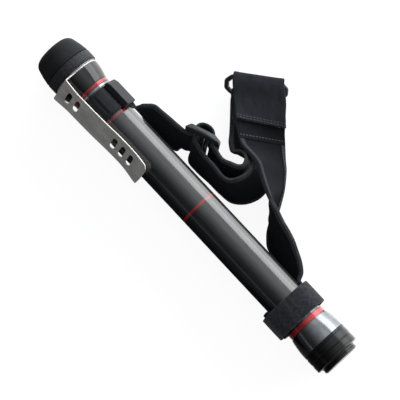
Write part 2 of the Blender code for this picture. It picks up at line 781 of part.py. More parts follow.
def smooth_rows(rows):
    """Smooth curve through the rows, its slopes weighed by the lengths of their spans."""
    rows = np.array(rows)
    spans = np.linalg.norm(np.diff(rows, axis=0), axis=2).mean(axis=1)
    slopes = np.diff(rows, axis=0) / spans[:, None, None]
    tangents = [slopes[0]]
    for index in range(1, len(rows) - 1):
        before, after = spans[index - 1], spans[index]
        mix = slopes[index - 1] * after + slopes[index] * before
        tangents.append(mix / (before + after))
    tangents.append(slopes[-1])
    result = []
    for index, span in enumerate(spans):
        steps = max(1, round(span / ROW_SPACING))
        here, there = rows[index], rows[index + 1]
        leave, arrive = tangents[index] * span, tangents[index + 1] * span
        for step in range(steps):
            share = step / steps
            square, cube = share ** 2, share ** 3
            result.append(
                here * (2 * cube - 3 * square + 1) + there * (3 * square - 2 * cube)
                + leave * (cube - 2 * square + share) + arrive * (cube - square)
            )
    result.append(rows[-1])
    return np.array(result)


def sheet_normals(grid):
    """Unit normals of a grid of points, from its directions along and across."""
    along = np.gradient(grid, axis=0)
    across = np.gradient(grid, axis=1)
    normals = np.cross(along, across)
    return normals / np.linalg.norm(normals, axis=2, keepdims=True)


def ribbon(name, grid, thickness, material, offset=0.0):
    """Closed strap solid: the grid's sheet with a thickness, its sides and its ends."""
    normals = sheet_normals(grid)
    upper = grid + normals * (offset + thickness / 2)
    lower = grid + normals * (offset - thickness / 2)
    rows, columns = grid.shape[:2]
    points = np.concatenate((upper.reshape(-1, 3), lower.reshape(-1, 3)))
    under = rows * columns
    faces = []
    for row in range(rows - 1):
        for column in range(columns - 1):
            corner = row * columns + column
            quad = (corner, corner + 1, corner + columns + 1, corner + columns)
            faces.append(quad)
            faces.append(tuple(under + index for index in reversed(quad)))
        for column in (0, columns - 1):
            corner = row * columns + column
            side = (corner, corner + columns, under + corner + columns, under + corner)
            faces.append(side if column == 0 else tuple(reversed(side)))
    for row in (0, rows - 1):
        for column in range(columns - 1):
            corner = row * columns + column
            end = (corner, under + corner, under + corner + 1, corner + 1)
            faces.append(end if row == 0 else tuple(reversed(end)))
    return place(name, mesh_from(name, points, faces), material)


# Bars of the strap ring: left and right ends, in the layout
RING_UPPER = ((12.5, -119.6, 15.5), (72.2, -110.8, 15.5))
RING_LOWER = ((10.9, -105.6, 4.8), (70.7, -97.3, 4.8))

# Buckle: middle of its left long side, direction across its bars, and its height
BUCKLE_LEFT = np.array((-31.6, -57.4, 25.8))
BUCKLE_ACROSS = np.array((0.889, 0.458, -0.015))
BUCKLE_UP = np.array((0.17, -0.30, 0.94))



def buckle_frame():
    """World directions of the buckle: across its bars, out of its plane, along its bars."""
    up = BUCKLE_UP / np.linalg.norm(BUCKLE_UP)
    across = BUCKLE_ACROSS - up * float(BUCKLE_ACROSS @ up)
    across = across / np.linalg.norm(across)
    to_world = np.array((lay_right, lay_down, lay_up)).T
    return to_world @ across, to_world @ np.cross(across, up), to_world @ up


def buckle_row(along, out):
    """Row of webbing in the buckle, at a place across its bars and out of its plane.

    Both are in millimetres where the buckle is 38 mm wide.
    """
    across_way, out_way, up_way = buckle_frame()
    middle = lay(BUCKLE_LEFT) + buckle_unit * (along * across_way + out * out_way)
    offsets = np.linspace(WEB_IN_BUCKLE / 2, -WEB_IN_BUCKLE / 2, ACROSS + 1)
    return middle + offsets[:, None] * up_way


def on_bar(bar, share):
    """Point at a share of a ring bar's length."""
    left = np.array(bar[0])
    right = np.array(bar[1])
    return left + (right - left) * share


def tongue_rows():
    """Front tongue of the webbing, straight in the clamp's tunnel."""
    tunnel_end = clamp_rear - LUG_OVERHANG + LUG_LENGTH - TUNNEL_WALL - 1.5 * MM
    rows = []
    mouth = clamp_rear - LUG_OVERHANG
    for x in (tunnel_end, (tunnel_end + mouth) / 2, mouth + 1.5 * MM, mouth - 0.5 * MM):
        frame = around(LUG_TURN, x, tongue_r)
        start = np.array(frame @ Vector((0.0, TONGUE_WIDTH / 2, 0.0)))
        end = np.array(frame @ Vector((0.0, -TONGUE_WIDTH / 2, 0.0)))
        if start[2] < end[2]:
            start, end = end, start
        rows.append(np.array([start + (end - start) * index / ACROSS
                              for index in range(ACROSS + 1)]))
    return rows


def webbing_grid():
    """Adjuster webbing from the clamp, through the buckle, round the ring and back."""
    rows = tongue_rows()
    for upper, lower in (
        ((-73.5, -88.5, 41), (-76.5, -85.0, 31)), ((-66.5, -87.5, 42), (-70.5, -74.5, 12)),
        ((-60.5, -87.0, 42), (-64.5, -66.5, 2.5)), ((-53.5, -82.5, 42), (-57.5, -60.5, 1.5)),
        ((-43.5, -73.5, 42), (-47, -51.5, 1.5)), ((-36, -65.0, 43.5), (-40.5, -46, 2.5)),
    ):
        rows.append(lay_row(upper, lower))
    # under the left bar, up through the first slot, over the middle and down the second
    for along, out in (
        (3.0, -4.8), (7.5, -3.4), (10.0, -0.5), (10.2, 3.5), (10.9, 8.0), (14.4, 12.0),
        (19.5, 13.2), (24.6, 11.6), (27.4, 7.6), (28.2, 3.0), (28.3, -1.5),
    ):
        rows.append(buckle_row(along, out))
    # inner ply, down and round the curl to the ring
    for upper, lower in (
        ((-0.5, -43.5, 45), (-9.5, -28.5, 3)), ((7.5, -33, 44), (-0.5, -18.5, 2)),
        ((16.5, -28.5, 43), (10, -10.5, 1.5)), ((25.5, -26.5, 41.5), (20, -5, 1.5)),
        ((30, -28.5, 40), (27.5, -5, 1.5)), ((32, -33.5, 37.5), (33, -9, 1.5)),
        ((30.5, -40, 34), (38, -15.5, 1.5)), ((25, -43.5, 30), (42, -22.5, 1.5)),
        ((17.5, -43.0, 25), (47, -30.5, 1.5)), ((13.6, -51.5, 20), (52.5, -41.5, 1.6)),
        ((13.2, -63, 13), (57, -56, 1.6)), ((13.0, -75, 7), (60.5, -68, 1.5)),
        ((13.8, -88, 2.8), (63, -80.5, 1.8)), ((16.0, -100.5, 1.6), (64.2, -93.8, 1.6)),
    ):
        rows.append(lay_row(upper, lower))
    turn_r = RING_WIRE_R + GAP + WEB_T / 2
    rows += fold_rows(
        on_bar(RING_LOWER, 0.10), on_bar(RING_LOWER, 0.90), turn_r, -math.pi / 2, math.pi / 2, 7,
    )
    # outer ply, back over the inner one and round the curl to the buckle
    for upper, lower in (
        ((16.2, -95, 8.4), (64.5, -88, 8.2)), ((16.2, -86.5, 10.5), (64, -79.5, 6.8)),
        ((17, -77, 13.5), (63, -69, 5.6)), ((19.8, -69.5, 16.5), (61.5, -57.5, 4.6)),
        ((24, -61, 19), (60, -46.5, 3.4)), ((28.5, -53, 22.5), (59.5, -34.5, 2.0)),
        ((35.5, -42.5, 25.5), (58.5, -22.5, 1.5)), ((38.5, -35, 30), (54.5, -10, 1.5)),
        ((39.5, -30, 36), (47.5, -1, 1.5)), ((33.5, -20.5, 40.5), (39, 5, 1.5)),
        ((25.5, -15, 42), (27, 8, 1.5)), ((17, -13, 42.5), (15, 6, 1.5)),
        ((10.5, -15.5, 43), (5, -2, 1.5)), ((0.5, -27.5, 44), (-6.5, -13.5, 1.5)),
        ((-9.5, -38.5, 45), (-18.5, -25.5, 2)), ((-15, -47.5, 46), (-25, -34, 3)),
    ):
        rows.append(lay_row(upper, lower))
    # the sewn end hooks round the buckle's middle bar
    for along, out in (
        (13.6, -4.6), (14.5, -1.8), (14.7, 3.4), (15.1, 5.3), (16.4, 6.4), (19.0, 6.6),
        (21.6, 6.4), (22.9, 5.3), (23.3, 3.4), (23.4, 0.0),
    ):
        rows.append(buckle_row(along, out))
    return smooth_rows(rows)


def strap_grid():
    """Shoulder strap from the flap's end, over the ring, through its twist to the band."""
    rows = [
        lay_row((22, -77.5, 23.3), (70.5, -69.5, 14.5)), lay_row((20.5, -88, 20), (70, -80, 17)),
        lay_row((19.0, -99, 18.6), (68.5, -91, 18)),
    ]
    turn_r = RING_WIRE_R + GAP + STRAP_T / 2
    rows += fold_rows(
        on_bar(RING_UPPER, 0.105), on_bar(RING_UPPER, 0.925), turn_r, math.pi / 2, -math.pi / 2, 7,
    )
    for upper, lower, bulge in (
        ((18.5, -99.5, 13), (68, -91.2, 12.5), 0), ((19.2, -86, 15.2), (69.5, -79, 11.5), 0),
        ((21, -76, 19), (70, -70, 10), 0), ((23.5, -67.5, 23), (69.5, -62, 7), 0),
        ((26, -59.5, 28), (69.5, -55.5, 4), 0), ((33, -46, 34), (69.5, -41.5, 1.9), 0),
        ((40.5, -37, 39), (69.5, -33.5, 1.7), 0), ((43.5, -31.5, 41), (70, -27.5, 1.6), 0),
        ((49.5, -15, 43), (69, -14, 1.5), 1), ((56.5, 1.5, 45), (66.5, -5, 1.5), 3),
        ((61, 12, 46), (60.5, 3.5, 1.5), 5), ((65.5, 21, 46), (56.5, 12, 1.5), 5),
        ((69.8, 30, 45.5), (54.5, 21, 1.5), 4), ((74.8, 39, 44.5), (53, 31, 1.5), 2),
        ((79.5, 48.5, 43), (52.5, 41.5, 1.7), 0), ((83.2, 58.5, 41), (54, 52, 2.2), 0),
        ((86.2, 67, 39), (59.5, 62, 3), 0), ((87.7, 74.5, 37), (65.5, 71, 5), 0),
        ((87.7, 80, 35), (73, 79.5, 10), 0),
    ):
        rows.append(lay_row(upper, lower, bulge))
    # the tongue hugs the tube's side under the band
    hug_r = seat_r + GAP + STRAP_T / 2
    for x, upper, lower in (
        (band_front + 2.5 * MM, 160, 214), (band_front - 2 * MM, 158, 212),
        (band_middle, 157, 210), (band_rear + 2 * MM, 157, 210),
    ):
        rows.append(arc_row(x, hug_r, math.radians(upper), math.radians(lower)))
    return smooth_rows(rows)


LABEL_FROM = -77.0              # label patch, down the layout past the flap's end
LABEL_TO = -58.0
LABEL_INSET = 0.08              # share of the strap's width left free at each side


def add_straps():
    """Webbing, shoulder strap, bare label patch, strap ring and tri-glide buckle."""
    webbing = finish_material("bound_webbing", textile, 0.85)
    ribbon("adjuster_strap", webbing_grid(), WEB_T, webbing)
    grid = strap_grid()
    ribbon("shoulder_strap", grid, STRAP_T, finish_material("neoprene_strap", textile, 0.9))
    down = (grid[:, 0] - lay_origin) @ lay_down / lay_unit
    folded = int(np.argmin(down))
    covered = [row for row in range(folded, len(grid)) if LABEL_FROM < down[row] < LABEL_TO]
    patch = grid[covered[0]:covered[-1] + 1]
    patch = patch + (patch.mean(axis=1, keepdims=True) - patch) * 2 * LABEL_INSET
    side = math.copysign(1.0, float(sheet_normals(patch)[0, 2, 2]))
    ribbon(
        "label_patch", patch, LABEL_T, finish_material("label_fabric", black, 0.7),
        offset=side * (STRAP_T / 2 + GAP + LABEL_T / 2),
    )

    ring = bpy.data.curves.new("strap_ring", "CURVE")
    ring.dimensions = "3D"
    ring.bevel_depth = RING_WIRE_R
    ring.bevel_resolution = 2
    corners = [lay(RING_LOWER[0]), lay(RING_LOWER[1]), lay(RING_UPPER[1]), lay(RING_UPPER[0])]
    path = []
    for index, corner in enumerate(corners):
        back = corners[index - 1] - corner
        ahead = corners[(index + 1) % 4] - corner
        start = corner + back / np.linalg.norm(back) * RING_CORNER
        end = corner + ahead / np.linalg.norm(ahead) * RING_CORNER
        for step in range(5):
            share = step / 4
            path.append(
                start * (1 - share) ** 2 + 2 * corner * share * (1 - share) + end * share ** 2
            )
    spline = ring.splines.new("POLY")
    spline.points.add(len(path) - 1)
    for spot, point in zip(spline.points, path):
        spot.co = (*point, 1.0)
    spline.use_cyclic_u = True
    thing = bpy.data.objects.new("strap_ring", ring)
    ring.materials.append(finish_material("moulded_ring", black, 0.45))
    parts.objects.link(thing)

    across, out, up = buckle_frame()
    middle = lay(BUCKLE_LEFT) + across * BUCKLE_WIDTH / 2 + out * BUCKLE_T / 2
    frame = Matrix((across, out, up)).transposed().to_4x4()
    place_at = Matrix.Translation(Vector(middle)) @ frame
    plate = block("tri_glide", (BUCKLE_WIDTH, BUCKLE_T, BUCKLE_LENGTH), place_at, 1.2 * MM)
    plate.data.materials.append(finish_material("buckle_plastic", black, 0.4))
    if frame.determinant() < 0:
        plate.data.flip_normals()
    parts.objects.link(plate)
    slot_width = (BUCKLE_WIDTH - 3 * BUCKLE_BAR) / 2
    for sign in (-1, 1):
        shift = Matrix.Translation((sign * (BUCKLE_BAR + slot_width) / 2, 0.0, 0.0))
        slot = block(
            "buckle_slot", (slot_width, BUCKLE_T * 3, BUCKLE_SLOT), place_at @ shift,
        )
        if frame.determinant() < 0:
            slot.data.flip_normals()
        boolean(plate, slot, "DIFFERENCE")


add_tubes()
add_net_socket()
add_front_cap()
add_front_fittings()
add_belt_clip()
add_strap_clamp()
add_butt()
add_rear_band()
add_straps()
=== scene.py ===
"""Closed landing net shaft with its belt clip and shoulder strap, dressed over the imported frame.

Units are metres and +Z is up. The pole lies along X with its net end at +X, the strap on
the -Y side and the belt clip on the +Y side. Places come from the frame's nodes.
"""

import math

import bmesh
import bpy
import numpy as np
from mathutils import Matrix, Vector


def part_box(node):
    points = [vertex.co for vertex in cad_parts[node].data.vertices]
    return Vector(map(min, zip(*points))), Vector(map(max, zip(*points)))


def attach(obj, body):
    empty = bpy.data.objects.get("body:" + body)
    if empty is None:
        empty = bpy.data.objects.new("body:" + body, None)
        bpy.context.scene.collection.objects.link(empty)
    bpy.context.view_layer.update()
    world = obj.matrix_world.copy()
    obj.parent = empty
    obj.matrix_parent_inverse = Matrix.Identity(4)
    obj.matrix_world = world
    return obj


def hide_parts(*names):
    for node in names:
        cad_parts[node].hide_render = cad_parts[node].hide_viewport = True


bl_info = {
    "name": "Landing net shaft",
    "version": (1, 0, 0),
    "blender": (4, 5, 0),
    "location": "View3D > Sidebar > Net shaft",
    "description": "Dresses the packed frame of a telescopic landing net shaft",
    "category": "Object",
}

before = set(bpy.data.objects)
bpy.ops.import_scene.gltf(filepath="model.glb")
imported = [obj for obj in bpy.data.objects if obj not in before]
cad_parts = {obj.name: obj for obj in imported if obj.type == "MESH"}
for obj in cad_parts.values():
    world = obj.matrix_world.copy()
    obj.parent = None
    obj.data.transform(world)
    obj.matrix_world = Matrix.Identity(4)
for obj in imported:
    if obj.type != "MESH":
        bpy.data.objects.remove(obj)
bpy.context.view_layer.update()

MM = 0.001
FULL_TURN = 2 * math.pi


def linear(code):
    """Linear colour of an sRGB hex code: each share is raised to 2.4 over its toe."""
    shares = np.array([int(code[start:start + 2], 16) for start in (1, 3, 5)]) / 255
    toe = shares / 12.92
    curve = ((shares + 0.055) / 1.055) ** 2.4
    return tuple(float(value) for value in np.where(shares > 0.04045, curve, toe))


# Places read from the frame

def reach(node):
    """Rear end, front end and outer radius of a node that is turned about the pole's axis."""
    low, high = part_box(node)
    return low.x, high.x, high.y


tube_rear, tube_front, tube_r = reach("main_tube")
cap_rear, cap_front, cap_r = reach("front_cap")
collar_rear, collar_front, collar_r = reach("front_collar")
washer_rear, washer_front, washer_r = reach("clip_washer")
cone_rear, nipple_front, cone_r = reach("front_cone")
trim_rear, trim_front, trim_r = reach("trim_ring_front")
silver_rear, silver_front, silver_r = reach("silver_ring")
sleeve_rear, sleeve_front, sleeve_r = reach("butt_sleeve")
rear_trim_rear, rear_trim_front, rear_trim_r = reach("trim_ring_rear")
butt_rear, butt_front, butt_r = reach("butt_cap")
insert_rear, insert_front, insert_r = reach("butt_insert")
ferrule_rear, ferrule_front = reach("net_ferrule")[:2]
band_rear, band_front = reach("rear_band")[:2]

# Walls and distances that the frame's boxes don't give
TUBE_WALL = 1.3 * MM
SECTION_WALL = 0.9 * MM
NIPPLE_WALL = 1.95 * MM
INSERT_WALL = 2.65 * MM
CLAMP_WALL = 2.2 * MM
CLAMP_LENGTH = 28.0 * MM
CLAMP_SETBACK = 1.2 * MM  # from the silver ring
HALF_PLATE = 0.7 * MM  # half of the clip's steel

table_z = -collar_r
gap = collar_rear - washer_front
tube_bore = tube_r - TUBE_WALL
seat_r = tube_r + gap
nipple_r = seat_r + NIPPLE_WALL
plate_x = washer_rear - gap - HALF_PLATE
clamp_front = silver_rear - CLAMP_SETBACK
clamp_rear = clamp_front - CLAMP_LENGTH
clamp_r = seat_r + CLAMP_WALL
band_middle = (band_rear + band_front) / 2


def size(name, value, words):
    """Length property that starts from a value in millimetres."""
    return bpy.props.FloatProperty(
        name=name, description=words, default=value * MM, unit="LENGTH", subtype="DISTANCE")


class ShaftSizes(bpy.types.PropertyGroup):
    """Sizes of the visible details."""

    stripe_width: size("Stripe width", 2.6, "Width of the painted stripe near the middle")
    clamp_stripe_width: size("Clamp stripe width", 2.0, "Width of the painted stripe beside the strap clamp")
    edge_radius: size("Edge radius", 0.45, "Rounding on the edges of the turned fittings")
    clip_thickness: size("Clip thickness", 1.4, "Thickness of the clip's steel plate")
    strap_thickness: size("Strap thickness", 3.2, "Thickness of the shoulder strap at its edges")
    webbing_thickness: size("Webbing thickness", 2.4, "Thickness of the adjuster webbing at its edges")
    edge_swell: size("Edge swell", 0.5, "How much the webbing's bound edges stand proud of each face")
    binding_width: size("Binding width", 4.6, "Width of the tape that binds the straps' edges")
    stitch_pitch: size("Stitch pitch", 3.4, "Distance from one stitch to the next")


def colour(name, code, words):
    """Colour property that starts from an sRGB hex code."""
    return bpy.props.FloatVectorProperty(
        name=name, description=words, default=linear(code), subtype="COLOR", size=3, min=0, max=1)


class ShaftColours(bpy.types.PropertyGroup):
    """Colours of the visible materials."""

    carbon: colour("Carbon", "#1C1D20", "Carbon tube under its clear coat")
    stripe: colour("Stripes", "#A0141C", "Painted stripes on the tube")
    rubber: colour("Rubber", "#28282C", "Rubber of the front cap")
    nylon: colour("Textured nylon", "#2B2B2F", "Grained collar nut")
    clamp: colour("Clamp nylon", "#25262B", "Strap clamp")
    lacquer: colour("Lacquer", "#0D0D0F", "Black cone")
    anodised: colour("Red anodising", "#8F1E23", "Red trim rings")
    silver: colour("Silver", "#797C80", "Silver ring and butt sleeve")
    steel: colour("Steel", "#DCDAD5", "Brushed plate of the clip")
    butt: colour("Butt cap", "#101011", "Black anodised butt cap")
    strap: colour("Strap", "#323338", "Flap of the shoulder strap")
    binding: colour("Binding", "#3A3B40", "Tape that binds the straps")
    webbing: colour("Webbing", "#1E1F23", "Adjuster webbing")
    band: colour("Loop band", "#2C2D32", "Hook-and-loop band")
    thread: colour("Thread", "#55565B", "Sewing thread")
    acetal: colour("Acetal", "#1B1B1E", "Buckle and strap ring")


# Shapes

def grid_faces(rows, columns, wrap_rows=False, wrap_columns=False):
    """Quads between the neighbours of a grid of points, which may close on itself."""
    row, column = np.meshgrid(
        np.arange(rows if wrap_rows else rows - 1),
        np.arange(columns if wrap_columns else columns - 1), indexing="ij")
    below, beside = (row + 1) % rows, (column + 1) % columns
    corners = (
        row * columns + column, row * columns + beside,
        below * columns + beside, below * columns + column)
    return np.stack(corners, axis=-1).reshape(-1, 4)


def make_piece(name, patches, material):
    """One mesh object from patches of points, faces and, where a pattern needs it, UVs.

    Points that lie in the same place are joined, which closes poles and seams, and the
    faces are turned outwards.
    """
    points, faces, coordinates, start = [], [], [], 0
    for patch in patches:
        places = patch[0].reshape(-1, 3)
        points.append(places)
        faces.append(patch[1] + start)
        coordinates.append(patch[2].reshape(-1, 2) if len(patch) > 2 else np.zeros((len(places), 2)))
        start += len(places)
    points, faces = np.concatenate(points), np.concatenate(faces)
    mesh = bpy.data.meshes.new(name)
    mesh.from_pydata(points.tolist(), [], faces.tolist())
    if any(len(patch) > 2 for patch in patches):
        layer = mesh.uv_layers.new(name="along_and_across")
        corners = np.concatenate(coordinates)[faces.ravel()]
        layer.data.foreach_set("uv", corners.astype(np.float32).ravel())
    shape = bmesh.new()
    shape.from_mesh(mesh)
    bmesh.ops.remove_doubles(shape, verts=shape.verts, dist=0.000002)
    bmesh.ops.recalc_face_normals(shape, faces=shape.faces)
    shape.to_mesh(mesh)
    shape.free()
    mesh.polygons.foreach_set("use_smooth", np.ones(len(mesh.polygons), bool))
    mesh.materials.append(material)
    piece = bpy.data.objects.new(name, mesh)
    bpy.context.scene.collection.objects.link(piece)
    return piece


def carry(piece, body, finish, *nodes):
    """The piece moves with a body and stands for its nodes, which it hides; its finish is not used."""
    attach(piece, body)
    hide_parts(*nodes)
    return piece


def softened(outline, radius, closed, steps=4):
    """Outline with each corner swapped for a curve that leaves and meets its two sides.

    The curve is quadratic: it weighs start, corner and end by (1-t)^2, 2t(1-t) and t^2.
    """
    corners = np.array(outline, float)
    before, after = np.roll(corners, 1, axis=0), np.roll(corners, -1, axis=0)

    def towards(other):
        """Point on the way from each corner to another, at most under half of it away."""
        way = other - corners
        length = np.maximum(np.linalg.norm(way, axis=1, keepdims=True), 1e-9)
        return corners + way / length * np.minimum(radius, 0.45 * length)

    start, end = towards(before)[:, None], towards(after)[:, None]
    share = np.linspace(0, 1, steps + 1)[None, :, None]
    curve = start * (1 - share) ** 2 + 2 * corners[:, None] * share * (1 - share) + end * share ** 2
    if not closed:
        curve[0], curve[-1] = corners[0], corners[-1]
    return curve.reshape(-1, 2)


def revolved(outline, radius, closed=True, sides=144):
    """Patch turned about the pole: each outline point (x, r) becomes x, r cos t, r sin t."""
    profile = softened(outline, radius, closed)
    turn = np.linspace(0, FULL_TURN, sides, endpoint=False)
    x, out = profile[:, :1], profile[:, 1:]
    points = np.stack(np.broadcast_arrays(x, out * np.cos(turn), out * np.sin(turn)), axis=-1)
    return points, grid_faces(len(profile), sides, closed, True)


def swept(path, up, profile, closed=True):
    """Patch of a profile carried along a path: out to the path's side by its first number
    and along the up direction by its second."""
    if closed:
        tangent = np.roll(path, -1, axis=0) - np.roll(path, 1, axis=0)
    else:
        tangent = np.gradient(path, axis=0)
    tangent /= np.linalg.norm(tangent, axis=1, keepdims=True)
    up = np.broadcast_to(up, path.shape)
    side = np.cross(tangent, up)
    side /= np.linalg.norm(side, axis=1, keepdims=True)
    points = (path[:, None] + profile[None, :, :1] * side[:, None] + profile[None, :, 1:] * up[:, None])
    return points, grid_faces(len(path), len(profile), closed, True)


def rounded_rectangle(half_width, half_height, corner, steps=6):
    """Points of a rectangle with round corners: quarter circles about its corners' centres."""
    turn = np.linspace(0, math.pi / 2, steps + 1)
    centres = np.array([(1, 1), (-1, 1), (-1, -1), (1, -1)]) * (half_width - corner, half_height - corner)
    angles = turn[None] + np.arange(4)[:, None] * math.pi / 2
    ring = centres[:, None] + corner * np.stack((np.cos(angles), np.sin(angles)), axis=-1)
    return ring.reshape(-1, 2)


def boxed(stations, frame_at):
    """Patch of a bar: a rounded rectangle at each station of place, height, half sizes,
    corner radius and, where it isn't in the middle, its shift across, in a frame that puts
    (along, across, out) on the model."""
    rings = []
    for along, height, half_width, half_height, corner, *shift in stations:
        ring = rounded_rectangle(half_width, half_height, corner) + (sum(shift), height)
        rings.append(np.column_stack((np.full(len(ring), along), ring)))
    rings = np.array(rings)
    return frame_at(rings), grid_faces(len(rings), rings.shape[1], False, True)


def prism(profile, low, high, edge, frame_at):
    """Patch of a closed profile carried from one level to another, smaller by an edge's
    width at both ends and closed in its middle."""
    middle = profile.mean(axis=0)
    shrink = 1 - edge / np.abs(profile - middle).max()
    rings = []
    stations = ((low, 0), (low, shrink), (low + edge, 1), (high - edge, 1), (high, shrink), (high, 0))
    for level, scale in stations:
        ring = middle + (profile - middle) * scale
        rings.append(np.column_stack((ring, np.full(len(ring), level))))
    rings = np.array(rings)
    return frame_at(rings), grid_faces(len(rings), rings.shape[1], False, True)


def beside_pole(turn):
    """Function that puts (along the pole, across, out from its axis) on the model at an angle."""
    columns = np.array([(1, 0, 0), (0, math.sin(turn), -math.cos(turn)), (0, math.cos(turn), math.sin(turn))])
    return lambda points: np.asarray(points) @ columns


# Materials

def add(tree, kind, settings=None, links=None):
    """Adds a node of a kind, with its own settings and its inputs' values or sources."""
    item = tree.nodes.new("ShaderNode" + kind)
    for name, value in (settings or {}).items():
        setattr(item, name, value)
    for name, value in (links or {}).items():
        if isinstance(value, bpy.types.NodeSocket):
            tree.links.new(value, item.inputs[name])
        else:
            item.inputs[name].default_value = value
    return item


def start_material(name, base, roughness, sockets=None):
    """New material with its tree, shader and the place of each point on the object."""
    material = bpy.data.materials.new(name)
    material.use_nodes = True
    tree = material.node_tree
    shader = tree.nodes["Principled BSDF"]
    shader.inputs["Base Color"].default_value = (*base, 1)
    shader.inputs["Roughness"].default_value = roughness
    for socket, value in (sockets or {}).items():
        shader.inputs[socket].default_value = value
    return material, tree, shader, add(tree, "TexCoord").outputs["Object"]


def mottle(tree, place, size, stretch=(1, 1, 1), detail=3.0):
    """Noise whose spots have a real size in metres, longer along an axis by its stretch."""
    turned = add(tree, "Mapping", links={"Vector": place, "Scale": tuple(1 / value for value in stretch)})
    noise = add(tree, "TexNoise", links={
        "Vector": turned.outputs[0], "Scale": 1 / size, "Detail": detail, "Roughness": 0.6})
    return noise.outputs["Fac"]


def ranged(tree, value, low, high, start=0.35, end=0.65):
    """Value spread from its usual range onto another."""
    return add(tree, "MapRange", links={
        "Value": value, "From Min": start, "From Max": end, "To Min": low, "To Max": high}).outputs[0]


def blended(tree, factor, first, second):
    """Colour between two colours or colour sockets."""
    mix = add(tree, "Mix", {"data_type": "RGBA"}, {"Factor": factor})
    for socket, value in ((mix.inputs[6], first), (mix.inputs[7], second)):
        if isinstance(value, bpy.types.NodeSocket):
            tree.links.new(value, socket)
        else:
            socket.default_value = (*value, 1)
    return mix.outputs[2]


def figure(tree, operation, first, second=0.0, third=0.0):
    """Result of one sum, product or other operation."""
    return add(tree, "Math", {"operation": operation}, {0: first, 1: second, 2: third}).outputs[0]


def graded(tree, value, full, stops):
    """Level read off stops of position and level, as shares of the full level."""
    ramp = add(tree, "ValToRGB", links={"Fac": value})
    points = ramp.color_ramp.elements
    for index, (position, level) in enumerate(stops):
        point = points[index] if index < 2 else points.new(position)
        point.position = position
        point.color = (level / full,) * 3 + (1,)
    return figure(tree, "MULTIPLY", ramp.outputs[0], full)


def raised(tree, shader, height, depth, strength=1.0, socket="Normal"):
    """Bump of a real depth in metres on the shader's normal or coat normal."""
    bump = add(tree, "Bump", links={"Height": height, "Distance": depth, "Strength": strength})
    tree.links.new(bump.outputs[0], shader.inputs[socket])
    return bump


def tinted(base, factor):
    """Colour made lighter or darker by a factor."""
    return tuple(min(1.0, value * factor) for value in base)


def carbon_tube(colours, sizes):
    """Unidirectional carbon tape under clear lacquer: fine lengthwise streaks, a ragged
    base reflection and a sharp one from the coat, with two painted stripes."""
    material, tree, shader, place = start_material(
        "lacquered_carbon", colours.carbon, 0.3, {"Coat Weight": 1.0, "Coat Roughness": 0.035})
    streaks = mottle(tree, place, 0.9 * MM, (70, 1, 1), 3.0)
    patches = mottle(tree, place, 5.0 * MM, (3.5, 1, 1), 5.0)
    dark = blended(
        tree, ranged(tree, streaks, 0, 1), tinted(colours.carbon, 0.45), tinted(colours.carbon, 1.9))
    x = add(tree, "SeparateXYZ", links={"Vector": place}).outputs[0]
    middle = (tube_rear + tube_front) / 2 + 0.9 * MM
    beside = clamp_rear - 3.0 * MM
    stripes = figure(
        tree, "MAXIMUM", figure(tree, "COMPARE", x, middle, sizes.stripe_width / 2),
        figure(tree, "COMPARE", x, beside, sizes.clamp_stripe_width / 2))
    tree.links.new(blended(tree, stripes, dark, tuple(colours.stripe)), shader.inputs["Base Color"])
    tree.links.new(ranged(tree, patches, 0.2, 0.4), shader.inputs["Roughness"])
    raised(tree, shader, patches, 0.1 * MM, 0.5)
    waves = mottle(tree, place, 4.5 * MM, (3.5, 1, 1), 3.0)
    raised(tree, shader, waves, 0.035 * MM, 0.5, "Coat Normal")
    return material


def section_carbon(colours):
    """Ground carbon blank of the inner sections: satin, with a wound tape's faint rings."""
    material, tree, shader, place = start_material("ground_carbon", colours.carbon, 0.4)
    rings = mottle(tree, place, 1.6 * MM, (1, 30, 30), 2.0)
    tree.links.new(
        blended(tree, ranged(tree, rings, 0, 1), tinted(colours.carbon, 0.7), tinted(colours.carbon, 1.5)),
        shader.inputs["Base Color"])
    raised(tree, shader, rings, 0.05 * MM, 0.4)
    return material


def moulded_rubber(colours):
    """Moulded rubber: soft dull skin with a fine grain under slow clouds."""
    material, tree, shader, place = start_material(
        "moulded_rubber", colours.rubber, 0.66, {"Specular IOR Level": 0.11})
    grain = mottle(tree, place, 0.9 * MM, detail=2.0)
    clouds = mottle(tree, place, 14 * MM, detail=3.0)
    tree.links.new(
        blended(tree, ranged(tree, clouds, 0, 1), tinted(colours.rubber, 0.85), tinted(colours.rubber, 1.25)),
        shader.inputs["Base Color"])
    tree.links.new(ranged(tree, grain, 0.6, 0.74), shader.inputs["Roughness"])
    raised(tree, shader, grain, 0.12 * MM, 0.35)
    return material


def textured_nylon(colours):
    """Spark-eroded nylon: pebbled grain, drawn as coarse as it shows."""
    material, tree, shader, place = start_material(
        "textured_nylon", colours.nylon, 0.62, {"Specular IOR Level": 0.22})
    pebbles = add(tree, "TexVoronoi", {"feature": "SMOOTH_F1"}, {"Vector": place, "Scale": 1 / (1.9 * MM)})
    height = ranged(tree, pebbles.outputs["Distance"], 1, 0, 0.0, 0.8)
    speckle = mottle(tree, place, 1.8 * MM, detail=4.0)
    tree.links.new(
        blended(tree, ranged(tree, speckle, 0, 1), tinted(colours.nylon, 0.6), tinted(colours.nylon, 1.9)),
        shader.inputs["Base Color"])
    raised(tree, shader, height, 0.34 * MM, 0.9)
    return material


def clamp_nylon(colours):
    """Moulded glass-filled nylon: satin with faint flow clouds."""
    material, tree, shader, place = start_material(
        "clamp_nylon", colours.clamp, 0.42, {"Specular IOR Level": 0.18})
    flow = mottle(tree, place, 6 * MM, detail=3.0)
    tree.links.new(
        blended(tree, ranged(tree, flow, 0, 1), tinted(colours.clamp, 0.85), tinted(colours.clamp, 1.25)),
        shader.inputs["Base Color"])
    raised(tree, shader, mottle(tree, place, 0.8 * MM), 0.04 * MM, 0.5)
    return material


